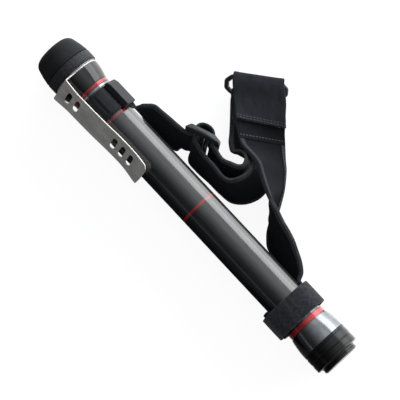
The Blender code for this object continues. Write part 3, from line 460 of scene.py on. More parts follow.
def black_lacquer(colours):
    """Sprayed gloss lacquer on a turned cone: mirror-like with very slight orange peel."""
    material, tree, shader, place = start_material("black_lacquer", colours.lacquer, 0.05, {"IOR": 1.47})
    peel = mottle(tree, place, 2.2 * MM, detail=1.0)
    raised(tree, shader, peel, 0.02 * MM, 0.35)
    tree.links.new(ranged(tree, peel, 0.04, 0.08), shader.inputs["Roughness"])
    return material


def red_anodised(colours, name, shade):
    """Turned aluminium, dyed red and sealed: tinted metal with fine lathe lines."""
    base = tinted(colours.anodised, shade)
    material, tree, shader, place = start_material(
        name, base, 0.3, {"Metallic": 0.5, "Coat Weight": 0.6, "Coat Roughness": 0.06})
    lines = mottle(tree, place, 0.3 * MM, (1, 60, 60), 2.0)
    tree.links.new(
        blended(tree, ranged(tree, lines, 0, 1), tinted(base, 0.8), tinted(base, 1.2)),
        shader.inputs["Base Color"])
    tree.links.new(ranged(tree, lines, 0.26, 0.36), shader.inputs["Roughness"])
    raised(tree, shader, lines, 0.015 * MM, 0.5)
    return material


def silver_metal(colours, name, roughness, line, depth):
    """Turned and plated metal: bright, with lathe lines round it at a real spacing."""
    material, tree, shader, place = start_material(
        name, colours.silver, roughness, {"Metallic": 1.0})
    lines = mottle(tree, place, line, (1, 80, 80), 2.0)
    clouds = mottle(tree, place, 8 * MM, detail=2.0)
    tree.links.new(
        blended(tree, ranged(tree, clouds, 0, 1), tinted(colours.silver, 0.88), tinted(colours.silver, 1.12)),
        shader.inputs["Base Color"])
    tree.links.new(ranged(tree, lines, roughness * 0.8, roughness * 1.4), shader.inputs["Roughness"])
    raised(tree, shader, lines, depth, 0.6)
    return material


def brushed_steel(colours):
    """Stainless sheet, ground lengthwise: long fine scratches that stretch its reflections."""
    material, tree, shader, place = start_material(
        "brushed_stainless", colours.steel, 0.5, {"Metallic": 0.5, "Anisotropic": 0.6})
    scratches = mottle(tree, place, 0.35 * MM, (50, 1, 1), 3.0)
    across = add(tree, "Tangent", {"direction_type": "RADIAL", "axis": "X"})
    tree.links.new(across.outputs[0], shader.inputs["Tangent"])
    clouds = mottle(tree, place, 9 * MM, (2, 1, 1), 3.0)
    shade = figure(
        tree, "ADD", figure(tree, "MULTIPLY", scratches, 0.6), figure(tree, "MULTIPLY", clouds, 0.4))
    tree.links.new(
        blended(
            tree, ranged(tree, shade, 0, 1, 0.4, 0.6),
            tinted(colours.steel, 0.78), tinted(colours.steel, 1.15)),
        shader.inputs["Base Color"])
    tree.links.new(ranged(tree, scratches, 0.44, 0.6), shader.inputs["Roughness"])
    raised(tree, shader, scratches, 0.02 * MM, 0.6)
    return material


def butt_metal(colours):
    """Black anodised aluminium: satin, with turned lines about half a millimetre apart."""
    base = tuple(colours.butt)
    material, tree, shader, place = start_material(
        "black_anodised", base, 0.2, {"Specular IOR Level": 0.27})
    lines = mottle(tree, place, 0.45 * MM, (1, 80, 80), 2.0)
    tree.links.new(
        blended(tree, ranged(tree, lines, 0, 1), tinted(base, 0.6), tinted(base, 1.6)),
        shader.inputs["Base Color"])
    tree.links.new(ranged(tree, lines, 0.14, 0.32), shader.inputs["Roughness"])
    raised(tree, shader, lines, 0.03 * MM, 0.6)
    return material


def plain_metal(name, code, roughness):
    """Machined metal of a hidden fitting, with soft lathe lines."""
    base = linear(code)
    material, tree, shader, place = start_material(name, base, roughness, {"Metallic": 1.0})
    lines = mottle(tree, place, 0.5 * MM, (1, 60, 60), 2.0)
    tree.links.new(
        blended(tree, ranged(tree, lines, 0, 1), tinted(base, 0.85), tinted(base, 1.1)),
        shader.inputs["Base Color"])
    raised(tree, shader, lines, 0.02 * MM, 0.5)
    return material


def plain_moulding(name, base, roughness, ior=1.5):
    """Moulded plastic or rubber of a small fitting, with a fine skin texture."""
    material, tree, shader, place = start_material(
        name, base, roughness, {"IOR": ior, "Specular IOR Level": 0.4})
    skin = mottle(tree, place, 1.2 * MM, detail=3.0)
    tree.links.new(
        blended(tree, ranged(tree, skin, 0, 1), tinted(base, 0.8), tinted(base, 1.25)),
        shader.inputs["Base Color"])
    raised(tree, shader, skin, 0.06 * MM, 0.4)
    return material


def loop_fabric(colours):
    """Brushed loop fabric: a felt of fine curls that catches light at its rim."""
    material, tree, shader, place = start_material(
        "brushed_loop_fabric", colours.band, 0.9,
        {"Specular IOR Level": 0.15, "Sheen Weight": 0.25, "Sheen Roughness": 0.5})
    curls = mottle(tree, place, 0.9 * MM, detail=5.0)
    tufts = mottle(tree, place, 3.2 * MM, detail=4.0)
    shade = figure(tree, "ADD", figure(tree, "MULTIPLY", curls, 0.5), figure(tree, "MULTIPLY", tufts, 0.5))
    tree.links.new(
        blended(
            tree, ranged(tree, shade, 0, 1, 0.38, 0.62),
            tinted(colours.band, 0.45), tinted(colours.band, 1.8)),
        shader.inputs["Base Color"])
    raised(tree, shader, shade, 0.6 * MM, 0.7)
    return material


def hook_tape():
    """Moulded hook tape: rows of dark hooks about a millimetre apart."""
    base = linear("#151517")
    material, tree, shader, place = start_material(
        "moulded_hook_tape", base, 0.7, {"Specular IOR Level": 0.25})
    cells = add(tree, "TexVoronoi", links={"Vector": place, "Scale": 1 / (1.1 * MM), "Randomness": 0.3})
    height = ranged(tree, cells.outputs["Distance"], 1, 0, 0.0, 0.7)
    # painted shade and highlight: the colour follows the hooks' height, darker between the hooks and lighter on their
    # tops
    tree.links.new(blended(tree, height, tinted(base, 0.5), tinted(base, 1.9)), shader.inputs["Base Color"])
    raised(tree, shader, height, 0.4 * MM, 0.8)
    return material


def woven(colours, name, face, width, sizes, rib, cross_seams=(), flap=0.0, flap_face=None):
    """Woven cloth whose pattern follows the strap: fine ribs, bound edges and stitches.

    The piece's map holds the distance across in its first number and the distance along
    in its second, both in metres, so every spacing here is a real one. Over the length of
    its flap the cloth has cut edges without a binding and, where one is given, a separate face colour.
    """
    material, tree, shader, _ = start_material(
        name, face, 0.88, {"Specular IOR Level": 0.06, "Sheen Weight": 0.02, "Sheen Roughness": 0.6})
    spot = add(tree, "UVMap", {"uv_map": "along_and_across"}).outputs[0]
    parts = add(tree, "SeparateXYZ", links={"Vector": spot})
    across, along = parts.outputs[0], parts.outputs[1]
    edge = figure(tree, "MINIMUM", across, figure(tree, "SUBTRACT", width, across))
    beyond = figure(tree, "GREATER_THAN", along, flap)
    binding = figure(tree, "MULTIPLY", figure(tree, "LESS_THAN", edge, sizes.binding_width), beyond)
    # twill ribs run slanting over the face
    slant = figure(tree, "ADD", across, figure(tree, "MULTIPLY", along, 0.6))
    ribs = figure(tree, "SINE", figure(tree, "MULTIPLY", slant, FULL_TURN / rib))
    threads = figure(tree, "SINE", figure(tree, "MULTIPLY", along, FULL_TURN / (rib * 0.8)))
    weave = figure(tree, "MULTIPLY_ADD", figure(tree, "MULTIPLY", ribs, threads), 0.5, 0.5)
    wear = mottle(tree, spot, 7 * MM, (1, 2, 1), 4.0)
    shade = figure(tree, "MULTIPLY_ADD", weave, 0.35, figure(tree, "MULTIPLY", wear, 0.65))
    mixed = ranged(tree, shade, 0, 1, 0.3, 0.75)
    cloth = blended(tree, mixed, tinted(face, 0.75), tinted(face, 1.35))
    if flap_face:
        pale = blended(tree, mixed, tinted(flap_face, 0.75), tinted(flap_face, 1.35))
        cloth = blended(tree, beyond, pale, cloth)
    tape = blended(
        tree, ranged(tree, mottle(tree, spot, 3 * MM, (1, 4, 1)), 0, 1),
        tinted(colours.binding, 0.8), tinted(colours.binding, 1.25))
    body = blended(tree, binding, cloth, tape)
    # a row of stitches runs in the middle of the binding
    half_thread, stitch_share = 0.45 * MM, 0.66
    middle = figure(tree, "COMPARE", edge, sizes.binding_width * 0.72, half_thread)
    row = figure(tree, "MULTIPLY", middle, beyond)
    dash, across_dash = (
        figure(tree, "LESS_THAN", figure(
            tree, "FRACT", figure(tree, "DIVIDE", way, sizes.stitch_pitch)), stitch_share)
        for way in (along, across))
    stitches = figure(tree, "MULTIPLY", row, dash)
    for seam in cross_seams:
        line = figure(tree, "MULTIPLY", figure(tree, "COMPARE", along, seam, half_thread), across_dash)
        stitches = figure(tree, "MAXIMUM", stitches, line)
    tree.links.new(blended(tree, stitches, body, tuple(colours.thread)), shader.inputs["Base Color"])
    sunk = figure(tree, "MULTIPLY", row, -0.6)
    height = figure(tree, "ADD", figure(tree, "MULTIPLY", weave, 0.45), figure(tree, "ADD", stitches, sunk))
    raised(tree, shader, height, 0.3 * MM, 0.6)
    return material


# Turned fittings

def spread(rear, front, low, high, shares):
    """Outline points at shares of a length and of a rise between two radii."""
    return [(rear + along * (front - rear), low + up * (high - low)) for along, up in shares]


def nose(rear, front, radius, taper, shares):
    """Outline points at shares of a length and of a fall below a radius."""
    return [(rear + along * (front - rear), radius - fall * taper) for along, fall in shares]


class SHAFT_OT_pole(bpy.types.Operator):
    """Main tube with its painted stripes, and the sections that slide in it"""

    bl_idname = "shaft.pole"
    bl_label = "Pole"

    def execute(self, context):
        colours, sizes = context.scene.shaft_colours, context.scene.shaft_sizes
        outline = [(tube_front, tube_r), (tube_rear, tube_r), (tube_rear, tube_bore), (tube_front, tube_bore)]
        tube = make_piece("tube_dressed", [revolved(outline, 0.3 * MM)], carbon_tube(colours, sizes))
        carry(tube, "shaft", "gloss_carbon", "main_tube")
        ground = section_carbon(colours)
        for number in range(2, 10):
            node = f"section_{number}"
            rear, front, radius = reach(node)
            bore = radius - SECTION_WALL
            outline = [(front, radius), (rear, radius), (rear, bore), (front, bore)]
            piece = make_piece(f"{node}_dressed", [revolved(outline, 0.25 * MM, sides=96)], ground)
            body = "tip" if number == 9 else f"stage_{number}"
            carry(piece, body, "carbon_section", node)
        return {"FINISHED"}


class SHAFT_OT_net_end(bpy.types.Operator):
    """Rubber cap, collar nut, cone and trim rings at the net end"""

    bl_idname = "shaft.net_end"
    bl_label = "Net end"

    def execute(self, context):
        colours, sizes = context.scene.shaft_colours, context.scene.shaft_sizes
        radius = sizes.edge_radius
        tip_r = reach("section_9")[2]
        shoulder = cap_rear + 1.8 * MM
        side = nose(shoulder, cap_front, cap_r, 7.8 * MM, [
            (0.0, 0.077), (0.034, 0.0), (0.19, 0.085), (0.38, 0.17), (0.56, 0.30), (0.72, 0.42),
            (0.83, 0.55), (0.897, 0.73), (0.949, 0.923), (0.985, 1.154), (1.0, 1.436),
        ])
        recess = cap_front - 5 * MM
        nest = shoulder + 1.2 * MM
        outline = [
            (cap_front, 0.0), *reversed(side), (shoulder, nipple_r), (cap_rear, nipple_r),
            (cap_rear, tube_bore), (nest, tube_bore), (nest, tip_r + gap), (recess, tip_r + gap),
            (recess, 0.0),
        ]
        cap = make_piece("cap_dressed", [revolved(outline, 0.6 * MM, False)], moulded_rubber(colours))
        carry(cap, "cap", "black_rubber", "front_cap")

        groove = 0.45 * MM
        outline = [
            (collar_front, collar_r - 2 * groove), (collar_front - groove, collar_r - groove),
            (collar_front - 2.5 * groove, collar_r), (collar_rear + 2.1 * MM, collar_r),
            (collar_rear + 1.8 * MM, collar_r - groove), (collar_rear + 1.4 * MM, collar_r - groove),
            (collar_rear + 1.1 * MM, collar_r), (collar_rear + groove, collar_r),
            (collar_rear, collar_r - groove), (collar_rear, nipple_r + gap), (collar_front, nipple_r + gap),
        ]
        collar = make_piece("collar_dressed", [revolved(outline, radius / 2)], textured_nylon(colours))
        carry(collar, "shaft", "textured_nylon", "front_collar")

        cone_front = plate_x - HALF_PLATE - gap
        flare = spread(cone_rear, cone_front, cone_r - 3.7 * MM, cone_r, [
            (0.0, 0.0), (0.06, 0.06), (0.12, 0.16), (0.2, 0.3), (0.28, 0.42), (0.36, 0.55), (0.45, 0.66),
            (0.55, 0.77), (0.65, 0.86), (0.75, 0.92), (0.85, 0.97), (0.93, 0.99), (1.0, 1.0),
        ])
        outline = [
            (nipple_front, nipple_r), (cone_front, nipple_r), *reversed(flare),
            (cone_rear, seat_r), (nipple_front, seat_r),
        ]
        cone = make_piece("cone_dressed", [revolved(outline, radius)], black_lacquer(colours))
        carry(cone, "shaft", "black_lacquer", "front_cone")

        red = red_anodised(colours, "red_anodised_aluminium", 0.85)
        outline = [(trim_front, trim_r), (trim_rear, trim_r), (trim_rear, seat_r), (trim_front, seat_r)]
        trim = make_piece("front_trim_dressed", [revolved(outline, radius)], red)
        carry(trim, "shaft", "red_anodised", "trim_ring_front")
        middle = (silver_front + silver_rear) / 2
        outline = [
            (silver_front, silver_r - 0.2 * MM), (middle, silver_r), (silver_rear, silver_r - 0.2 * MM),
            (silver_rear, seat_r), (silver_front, seat_r),
        ]
        bright = silver_metal(colours, "bright_turned_metal", 0.12, 0.4 * MM, 0.01 * MM)
        ring = make_piece("silver_dressed", [revolved(outline, radius)], bright)
        carry(ring, "shaft", "silver_anodised", "silver_ring")
        return {"FINISHED"}


class SHAFT_OT_butt_end(bpy.types.Operator):
    """Silver sleeve, trim ring and the screw-off butt cap"""

    bl_idname = "shaft.butt_end"
    bl_label = "Butt end"

    def execute(self, context):
        colours, sizes = context.scene.shaft_colours, context.scene.shaft_sizes
        radius = sizes.edge_radius
        front_r = sleeve_r - 2.3 * MM
        lip = 0.9 * MM
        taper = spread(sleeve_rear, sleeve_front - lip, front_r, sleeve_r, [
            (0.0, 1.0), (0.1, 0.99), (0.2, 0.97), (0.3, 0.92), (0.4, 0.85), (0.5, 0.76), (0.6, 0.64),
            (0.7, 0.51), (0.8, 0.36), (0.9, 0.19), (1.0, 0.04),
        ])
        outline = [
            (sleeve_front, front_r - 0.5 * MM), (sleeve_front - lip, front_r - 0.35 * MM),
            *reversed(taper), (sleeve_rear, seat_r), (sleeve_front, seat_r),
        ]
        satin = silver_metal(colours, "satin_plated_metal", 0.17, 0.7 * MM, 0.05 * MM)
        sleeve = make_piece("sleeve_dressed", [revolved(outline, radius / 2)], satin)
        carry(sleeve, "shaft", "silver_anodised", "butt_sleeve")

        outline = [
            (rear_trim_front, rear_trim_r - 0.15 * MM), (rear_trim_front - 1.2 * MM, rear_trim_r),
            (rear_trim_rear + 1.2 * MM, rear_trim_r), (rear_trim_rear, rear_trim_r - 0.15 * MM),
            (rear_trim_rear, seat_r), (rear_trim_front, seat_r),
        ]
        red = red_anodised(colours, "red_anodised_butt_trim", 1.6)
        trim = make_piece("rear_trim_dressed", [revolved(outline, radius)], red)
        carry(trim, "shaft", "red_anodised", "trim_ring_rear")

        grip_rear = butt_rear + 6 * MM
        end_r = butt_r - 4.9 * MM
        floor = butt_rear + 12 * MM
        spigot_front = floor + 12 * MM
        spigot_r = insert_r - INSERT_WALL - gap
        bore_r = spigot_r - 7.6 * MM
        step = 0.5 * MM
        grooves = []
        for share in (0.94, 0.86, 0.45, 0.40, 0.12):
            middle = grip_rear + share * 20 * MM
            wide = 0.6 * MM if share in (0.86, 0.45) else 0.3 * MM
            grooves += [
                (middle + wide, butt_r), (middle + wide / 2, butt_r - wide),
                (middle - wide / 2, butt_r - wide), (middle - wide, butt_r),
            ]
        outline = [
            (spigot_front - 7.7 * MM, 0.0), (spigot_front - 7.7 * MM, bore_r), (spigot_front, bore_r),
            (spigot_front, spigot_r), (floor, spigot_r), (floor, seat_r), (butt_front, seat_r),
            (butt_front, butt_r), *grooves, (grip_rear + step, butt_r), (grip_rear, butt_r - 1.4 * MM),
            (grip_rear - 0.1 * MM, end_r + 1.2 * MM), (grip_rear - 0.8 * MM, end_r), (4.2 * MM, end_r),
            (3.9 * MM, end_r - 0.4 * MM), (3.4 * MM, end_r - 0.4 * MM), (3.1 * MM, end_r),
            (1.6 * MM, end_r), (step, end_r - 0.8 * MM), (butt_rear, end_r - 2 * MM), (butt_rear, 0.0),
        ]
        cap = make_piece("butt_cap_dressed", [revolved(outline, 0.25 * MM, False)], butt_metal(colours))
        carry(cap, "end_cap", "black_anodised", "butt_cap")
        return {"FINISHED"}


class SHAFT_OT_hidden_fittings(bpy.types.Operator):
    """Net socket, washer, insert, cushion and O-ring, which show when parts are open"""

    bl_idname = "shaft.hidden_fittings"
    bl_label = "Hidden fittings"

    def execute(self, context):
        bore = 6.1 * MM
        lead = 0.8 * MM
        tip_r = reach("section_9")[2]
        shank_r = tip_r - SECTION_WALL - gap
        flange_rear = ferrule_front - 6.2 * MM
        turns = np.arange(0, 10, 0.5)
        threads = [
            (ferrule_front - 1.4 * MM - turn * 1.0 * MM, bore - 0.25 * MM * (turn % 1 > 0)) for turn in turns]
        outline = [
            (ferrule_front - 13.2 * MM, 0.0), (ferrule_front - 13.2 * MM, bore), *reversed(threads),
            (ferrule_front - lead, bore), (ferrule_front, bore + lead), (ferrule_front, tip_r - 0.95 * MM),
            (ferrule_front - 0.4 * MM, tip_r - 0.55 * MM), (ferrule_front - 4.5 * MM, tip_r - 0.55 * MM),
            (ferrule_front - 4.5 * MM, tip_r), (flange_rear, tip_r), (flange_rear, shank_r),
            (ferrule_rear, shank_r), (ferrule_rear, 0.0),
        ]
        brass = plain_metal("nickel_plated_brass", "#C9C2B0", 0.25)
        socket = make_piece("net_socket_dressed", [revolved(outline, 0.2 * MM, False, 96)], brass)
        carry(socket, "tip", "plated_brass", "net_ferrule")

        outline = [
            (washer_front, washer_r), (washer_rear, washer_r),
            (washer_rear, nipple_r + gap), (washer_front, nipple_r + gap),
        ]
        nylon = plain_moulding("white_nylon", linear("#B9B8B2"), 0.45)
        washer = make_piece("washer_dressed", [revolved(outline, 0.2 * MM)], nylon)
        carry(washer, "shaft", "white_nylon", "clip_washer")

        insert_bore = insert_r - INSERT_WALL
        outline = [
            (insert_front, insert_r), (insert_rear, insert_r),
            (insert_rear, insert_bore), (insert_front, insert_bore),
        ]
        alloy = plain_metal("machined_aluminium", "#A9ABAE", 0.35)
        insert = make_piece("insert_dressed", [revolved(outline, 0.25 * MM, True, 96)], alloy)
        carry(insert, "shaft", "insert_aluminium", "butt_insert")

        for node, name, code, roughness in (
            ("butt_cushion", "cushion_rubber", "#1E1E20", 0.7),
            ("butt_o_ring", "o_ring_rubber", "#161617", 0.45),
        ):
            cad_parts[node].material_slots[0].material = plain_moulding(name, linear(code), roughness)
        return {"FINISHED"}


# Strap clamp and belt clip

class SHAFT_OT_strap_clamp(bpy.types.Operator):
    """Band clamp with its ribs and the lug that grips the webbing"""

    bl_idname = "shaft.strap_clamp"
    bl_label = "Strap clamp"

    def execute(self, context):
        colours = context.scene.shaft_colours
        lip = 1.1 * MM
        outline = [
            (clamp_front, clamp_r - 0.5 * MM), (clamp_front - 0.5 * MM, clamp_r),
            (clamp_front - lip, clamp_r), (clamp_front - lip - 0.3 * MM, clamp_r - 0.3 * MM),
            (clamp_rear + lip + 0.3 * MM, clamp_r - 0.3 * MM), (clamp_rear + lip, clamp_r),
            (clamp_rear + 0.5 * MM, clamp_r), (clamp_rear, clamp_r - 0.5 * MM),
            (clamp_rear, seat_r), (clamp_front, seat_r),
        ]
        patches = [revolved(outline, 0.25 * MM)]
        foot = seat_r + 1.1 * MM
        middle = (clamp_front + clamp_rear) / 2
        for turn, width, top in ((93, 2.4 * MM, 0.7 * MM), (75, 6.4 * MM, 0.7 * MM), (75, 3.6 * MM, 0.9 * MM)):
            half = 11 * MM - (6.4 * MM - width if top > 0.7 * MM else 0) / 2
            height = clamp_r + top - foot
            centre = foot + height / 2
            stations = [
                (middle - half, centre, 0.0, 0.0, 0.0),
                (middle - half, centre, width / 2 - 0.3 * MM, height / 2 - 0.3 * MM, 0.2 * MM),
                (middle - half + 0.3 * MM, centre, width / 2, height / 2, 0.4 * MM),
                (middle + half - 0.3 * MM, centre, width / 2, height / 2, 0.4 * MM),
                (middle + half, centre, width / 2 - 0.3 * MM, height / 2 - 0.3 * MM, 0.2 * MM),
                (middle + half, centre, 0.0, 0.0, 0.0),
            ]
            patches.append(boxed(stations, beside_pole(math.radians(turn))))

        mouth = clamp_rear - 3 * MM
        tunnel_end = mouth + 23.6 * MM
        end = clamp_front - 0.3 * MM
        top = clamp_r + 5.35 * MM
        centre, half_height = (top + foot) / 2, (top - foot) / 2
        half_width, corner, aside = 8.0 * MM, 0.9 * MM, 1.5 * MM
        tongue_r = clamp_r + gap + 1.2 * MM
        tunnel = (tongue_r, 4.8 * MM, 1.5 * MM, 0.5 * MM)
        stations = [
            (tunnel_end, tongue_r, 0.0, 0.0, 0.0), (tunnel_end, *tunnel), (mouth + 0.6 * MM, *tunnel),
            (mouth, tongue_r, 5.1 * MM, 1.8 * MM, 0.6 * MM),
            (mouth, centre, half_width - 0.5 * MM, half_height - 0.5 * MM, corner, aside),
            (mouth + 0.5 * MM, centre, half_width, half_height, corner, aside),
            (end - 5 * MM, centre, half_width, half_height, corner, aside),
            (end - 0.8 * MM, centre - 0.7 * MM, half_width, half_height - 0.7 * MM, corner, aside),
            (end, centre - 0.9 * MM, half_width - 0.6 * MM, half_height - 1.3 * MM, corner * 0.8, aside),
            (end, centre - 0.9 * MM, 0.0, 0.0, 0.0, aside),
        ]
        patches.append(boxed(stations, beside_pole(math.radians(148))))
        clamp = make_piece("clamp_dressed", patches, clamp_nylon(colours))
        sharp = clamp.modifiers.new("crisp_edges", "WEIGHTED_NORMAL")
        sharp.keep_sharp = True
        carry(clamp, "shaft", "black_nylon", "strap_clamp")
        return {"FINISHED"}


class ClipPlate:
    """The clip's steel plate: a ring, a tab and a slotted blade, laid flat and then bent."""

    turn = math.radians(38.5)
    length = 118 * MM
    bend_r = 1.4 * MM
    ring_r = nipple_r + gap + 1.4 * MM
    root_h = ring_r + 1.7 * MM
    tip_h = root_h - 0.6 * MM
    touch_h = tube_r + 1.4 * MM + 0.7 * MM
    slot_half = np.array((3.0, 8.0)) * MM
    pitch = 11.6 * MM
    columns = 24

    def height(self, along):
        """Height of the blade's middle over the axis, at a share of its length: it leans in
        from the bend to where it nearly touches the tube, then kicks out to the tip."""
        shares = np.array((0.0, 0.14, 0.32, 0.47, 0.64, 0.78, 0.89, 1.0))
        lifts = np.array((1.0, 0.93, 0.78, 0.6, 0.18, 0.0))
        heights = np.concatenate((
            self.touch_h + lifts * (self.root_h - self.touch_h),
            (self.touch_h + 0.22 * (self.tip_h - self.touch_h), self.tip_h)))
        near = [np.interp(along + shift, shares, heights) for shift in (-0.04, -0.02, 0, 0.02, 0.04)]
        return np.mean(near, axis=0) if np.ndim(along) else float(np.mean(near))

    def half_width(self, along):
        """Half of the blade's width: wide at the root, straight, and flared at the tip."""
        widening = np.clip(1 - along / 0.16, 0, 1)
        return 15 * MM + widening * 2.5 * MM + np.maximum(0, along - 0.8) * 4 * MM

    def bent(self, distance, share):
        """Place of a point by its distance from the ring's plane and its share across."""
        along = np.clip(distance / self.length, 0, 1)
        across = self.half_width(along) * share
        height = self.height(along)
        inside = np.clip(distance / self.bend_r, 0, 1)
        drop = self.bend_r * (1 - np.sqrt(1 - (1 - inside) ** 2))
        return np.stack(np.broadcast_arrays(plate_x - distance, across, height - drop), axis=-1)

    def plain(self, near, far, rows, ends=None):
        """Patch of the blade without a slot, between two distances from the ring's plane."""
        share = np.linspace(-1, 1, self.columns + 1)
        steps = np.linspace(0, 1, rows + 1)[:, None]
        stop = far if ends is None else ends(share)
        distance = near + steps * (stop - near)
        return self.bent(distance, share), grid_faces(rows + 1, self.columns + 1)

    def slotted(self, centre):
        """Patch of one pitch of the blade round a slot: rings that grow from the slot's
        obround edge to the patch's straight edge."""
        half = self.pitch / 2
        ends = 8
        share = np.linspace(-1, 1, self.columns + 1)
        step = np.linspace(-1, 1, ends + 1)
        edge = np.concatenate((
            np.column_stack((np.full(self.columns, -1.0), share[:-1])),
            np.column_stack((step[:-1], np.full(ends, 1.0))),
            np.column_stack((np.full(self.columns, 1.0), share[::-1][:-1])),
            np.column_stack((step[::-1][:-1], np.full(ends, -1.0)))))
        wide, tall = self.slot_half
        straight = tall - wide
        quarter = math.pi / 4 * wide
        long_side = 2 * straight + 2 * quarter
        run = np.concatenate((
            np.linspace(0, long_side, self.columns, endpoint=False),
            long_side + np.linspace(0, 2 * quarter, ends, endpoint=False),
            long_side + 2 * quarter + np.linspace(0, long_side, self.columns, endpoint=False),
            2 * long_side + 2 * quarter + np.linspace(0, 2 * quarter, ends, endpoint=False)))
        turn = np.linspace(-3 * math.pi / 4, -3 * math.pi / 4 - FULL_TURN, 721)
        circle = np.column_stack((np.cos(turn), np.sin(turn))) * wide
        dense = circle + np.column_stack((np.zeros(721), np.sign(circle[:, 1]) * straight))
        lengths = np.concatenate(((0,), np.cumsum(np.linalg.norm(np.diff(dense, axis=0), axis=1))))
        hole_x = np.interp(run / run[-1] * lengths[-1] * run[-1] / (2 * long_side + 4 * quarter), lengths, dense[:, 0])
        hole_y = np.interp(run / run[-1] * lengths[-1] * run[-1] / (2 * long_side + 4 * quarter), lengths, dense[:, 1])
        grow = np.array((0, 0.1, 0.25, 0.45, 0.7, 1.0))[:, None]
        distance = centre + hole_x + grow * (edge[:, 0] * half - hole_x)
        half_width = self.half_width(np.clip(distance / self.length, 0, 1))
        outer = edge[:, 1] * half_width
        across = hole_y + grow * (outer - hole_y)
        return self.bent(distance, across / half_width), grid_faces(6, len(edge), False, True)

    def ring(self):
        """Patch of the ring round the nipple, and the tab that joins it to the blade."""
        sides = 80
        turn = np.linspace(0, FULL_TURN, sides, endpoint=False)
        radius = np.linspace(nipple_r + gap, self.ring_r, 4)[:, None]
        ring = np.stack(np.broadcast_arrays(plate_x, radius * np.sin(turn), radius * np.cos(turn)), axis=-1)
        share = np.linspace(-1, 1, self.columns + 1)
        spread_turn = share * self.columns / 2 * FULL_TURN / sides
        foot = np.column_stack((np.full(len(share), plate_x), np.sin(spread_turn), np.cos(spread_turn)))
        foot[:, 1:] *= self.ring_r
        head = self.bent(np.zeros(1), share)
        step = np.linspace(0, 1, 7)[:, None, None]
        tab = foot + (head - foot) * step
        return (ring, grid_faces(4, sides, False, True)), (tab, grid_faces(7, len(share)))

    def patches(self):
        """All the flat patches of the plate, in the clip's own frame."""
        tip_end = self.length
        root = [12.9 * MM + index * self.pitch for index in range(2)]
        tip = [tip_end - 17.4 * MM - index * self.pitch for index in range(3)]
        half = self.pitch / 2

        def clipped_tip(share):
            """End of the blade: a shallow bow, with its tube-side corner cut back."""
            shares = (-1.0, -0.86, -0.74, -0.4, 0.0, 0.5, 0.92, 1.0)
            reach_out = (-1.5, 0.6, 2.1, 2.8, 3.0, 2.6, 1.9, 1.2)
            return tip_end + np.interp(share, shares, reach_out) * MM

        bend = self.bend_r * (1 - np.cos(np.linspace(0, math.pi / 2, 7)))
        share = np.linspace(-1, 1, self.columns + 1)
        corner = self.bent(bend[:, None], share)
        yield from self.ring()
        yield corner, grid_faces(7, self.columns + 1)
        yield self.plain(self.bend_r, root[0] - half, 5)
        for centre in root + tip:
            yield self.slotted(centre)
        yield self.plain(root[1] + half, tip[2] - half, 26)
        yield self.plain(tip[0] + half, tip_end, 8, clipped_tip)


class SHAFT_OT_belt_clip(bpy.types.Operator):
    """Bent steel belt clip with five slots"""

    bl_idname = "shaft.belt_clip"
    bl_label = "Belt clip"

    def execute(self, context):
        colours, sizes = context.scene.shaft_colours, context.scene.shaft_sizes
        plate = ClipPlate()
        to_model = beside_pole(plate.turn)
        patches = [(to_model(points), faces) for points, faces in plate.patches()]
        clip = make_piece("clip_dressed", patches, brushed_steel(colours))
        wall = clip.modifiers.new("plate", "SOLIDIFY")
        wall.thickness = sizes.clip_thickness
        wall.offset = 0.0
        wall.use_even_offset = True
        edges = clip.modifiers.new("ground_edges", "BEVEL")
        edges.width = 0.28 * MM
        edges.segments = 2
        edges.limit_method = "ANGLE"
        edges.angle_limit = math.radians(55)
        clip.modifiers.new("even_faces", "WEIGHTED_NORMAL")
        carry(clip, "clip", "brushed_steel", "belt_clip")
        return {"FINISHED"}


# Hook-and-loop band

def band_radius(turn):
    """Middle radius of the wrapped band: close on top, wide over the tab and the tongue,
    read between points round the pole and evened over a few degrees."""
    thick, tab, strap = 3.2 * MM, 5.9 * MM, 3.2 * MM
    over_tab = seat_r + tab + gap * 2 + thick / 2
    over_tongue = seat_r + strap + gap * 2.5 + thick / 2
    on_tube = seat_r + thick / 2
    low = tube_r + 3.4 * MM + thick / 2
    turns = (0, 36, 58, 88, 108, 132, 180, 228, 248, 270, 283, 296, 324, 360)
    radii = (
        over_tab, over_tab, on_tube + 2.2 * MM, on_tube, on_tube + 0.6 * MM, over_tongue,
        over_tongue + 0.3 * MM, over_tongue, low - 0.9 * MM, low - 0.7 * MM, low - 0.35 * MM,
        low + 1.2 * MM, over_tab, over_tab,
    )
    degrees = np.degrees(turn)
    near = [np.interp((degrees + shift) % 360, turns, radii) for shift in (-4, -2, 0, 2, 4)]
    return np.mean(near, axis=0)


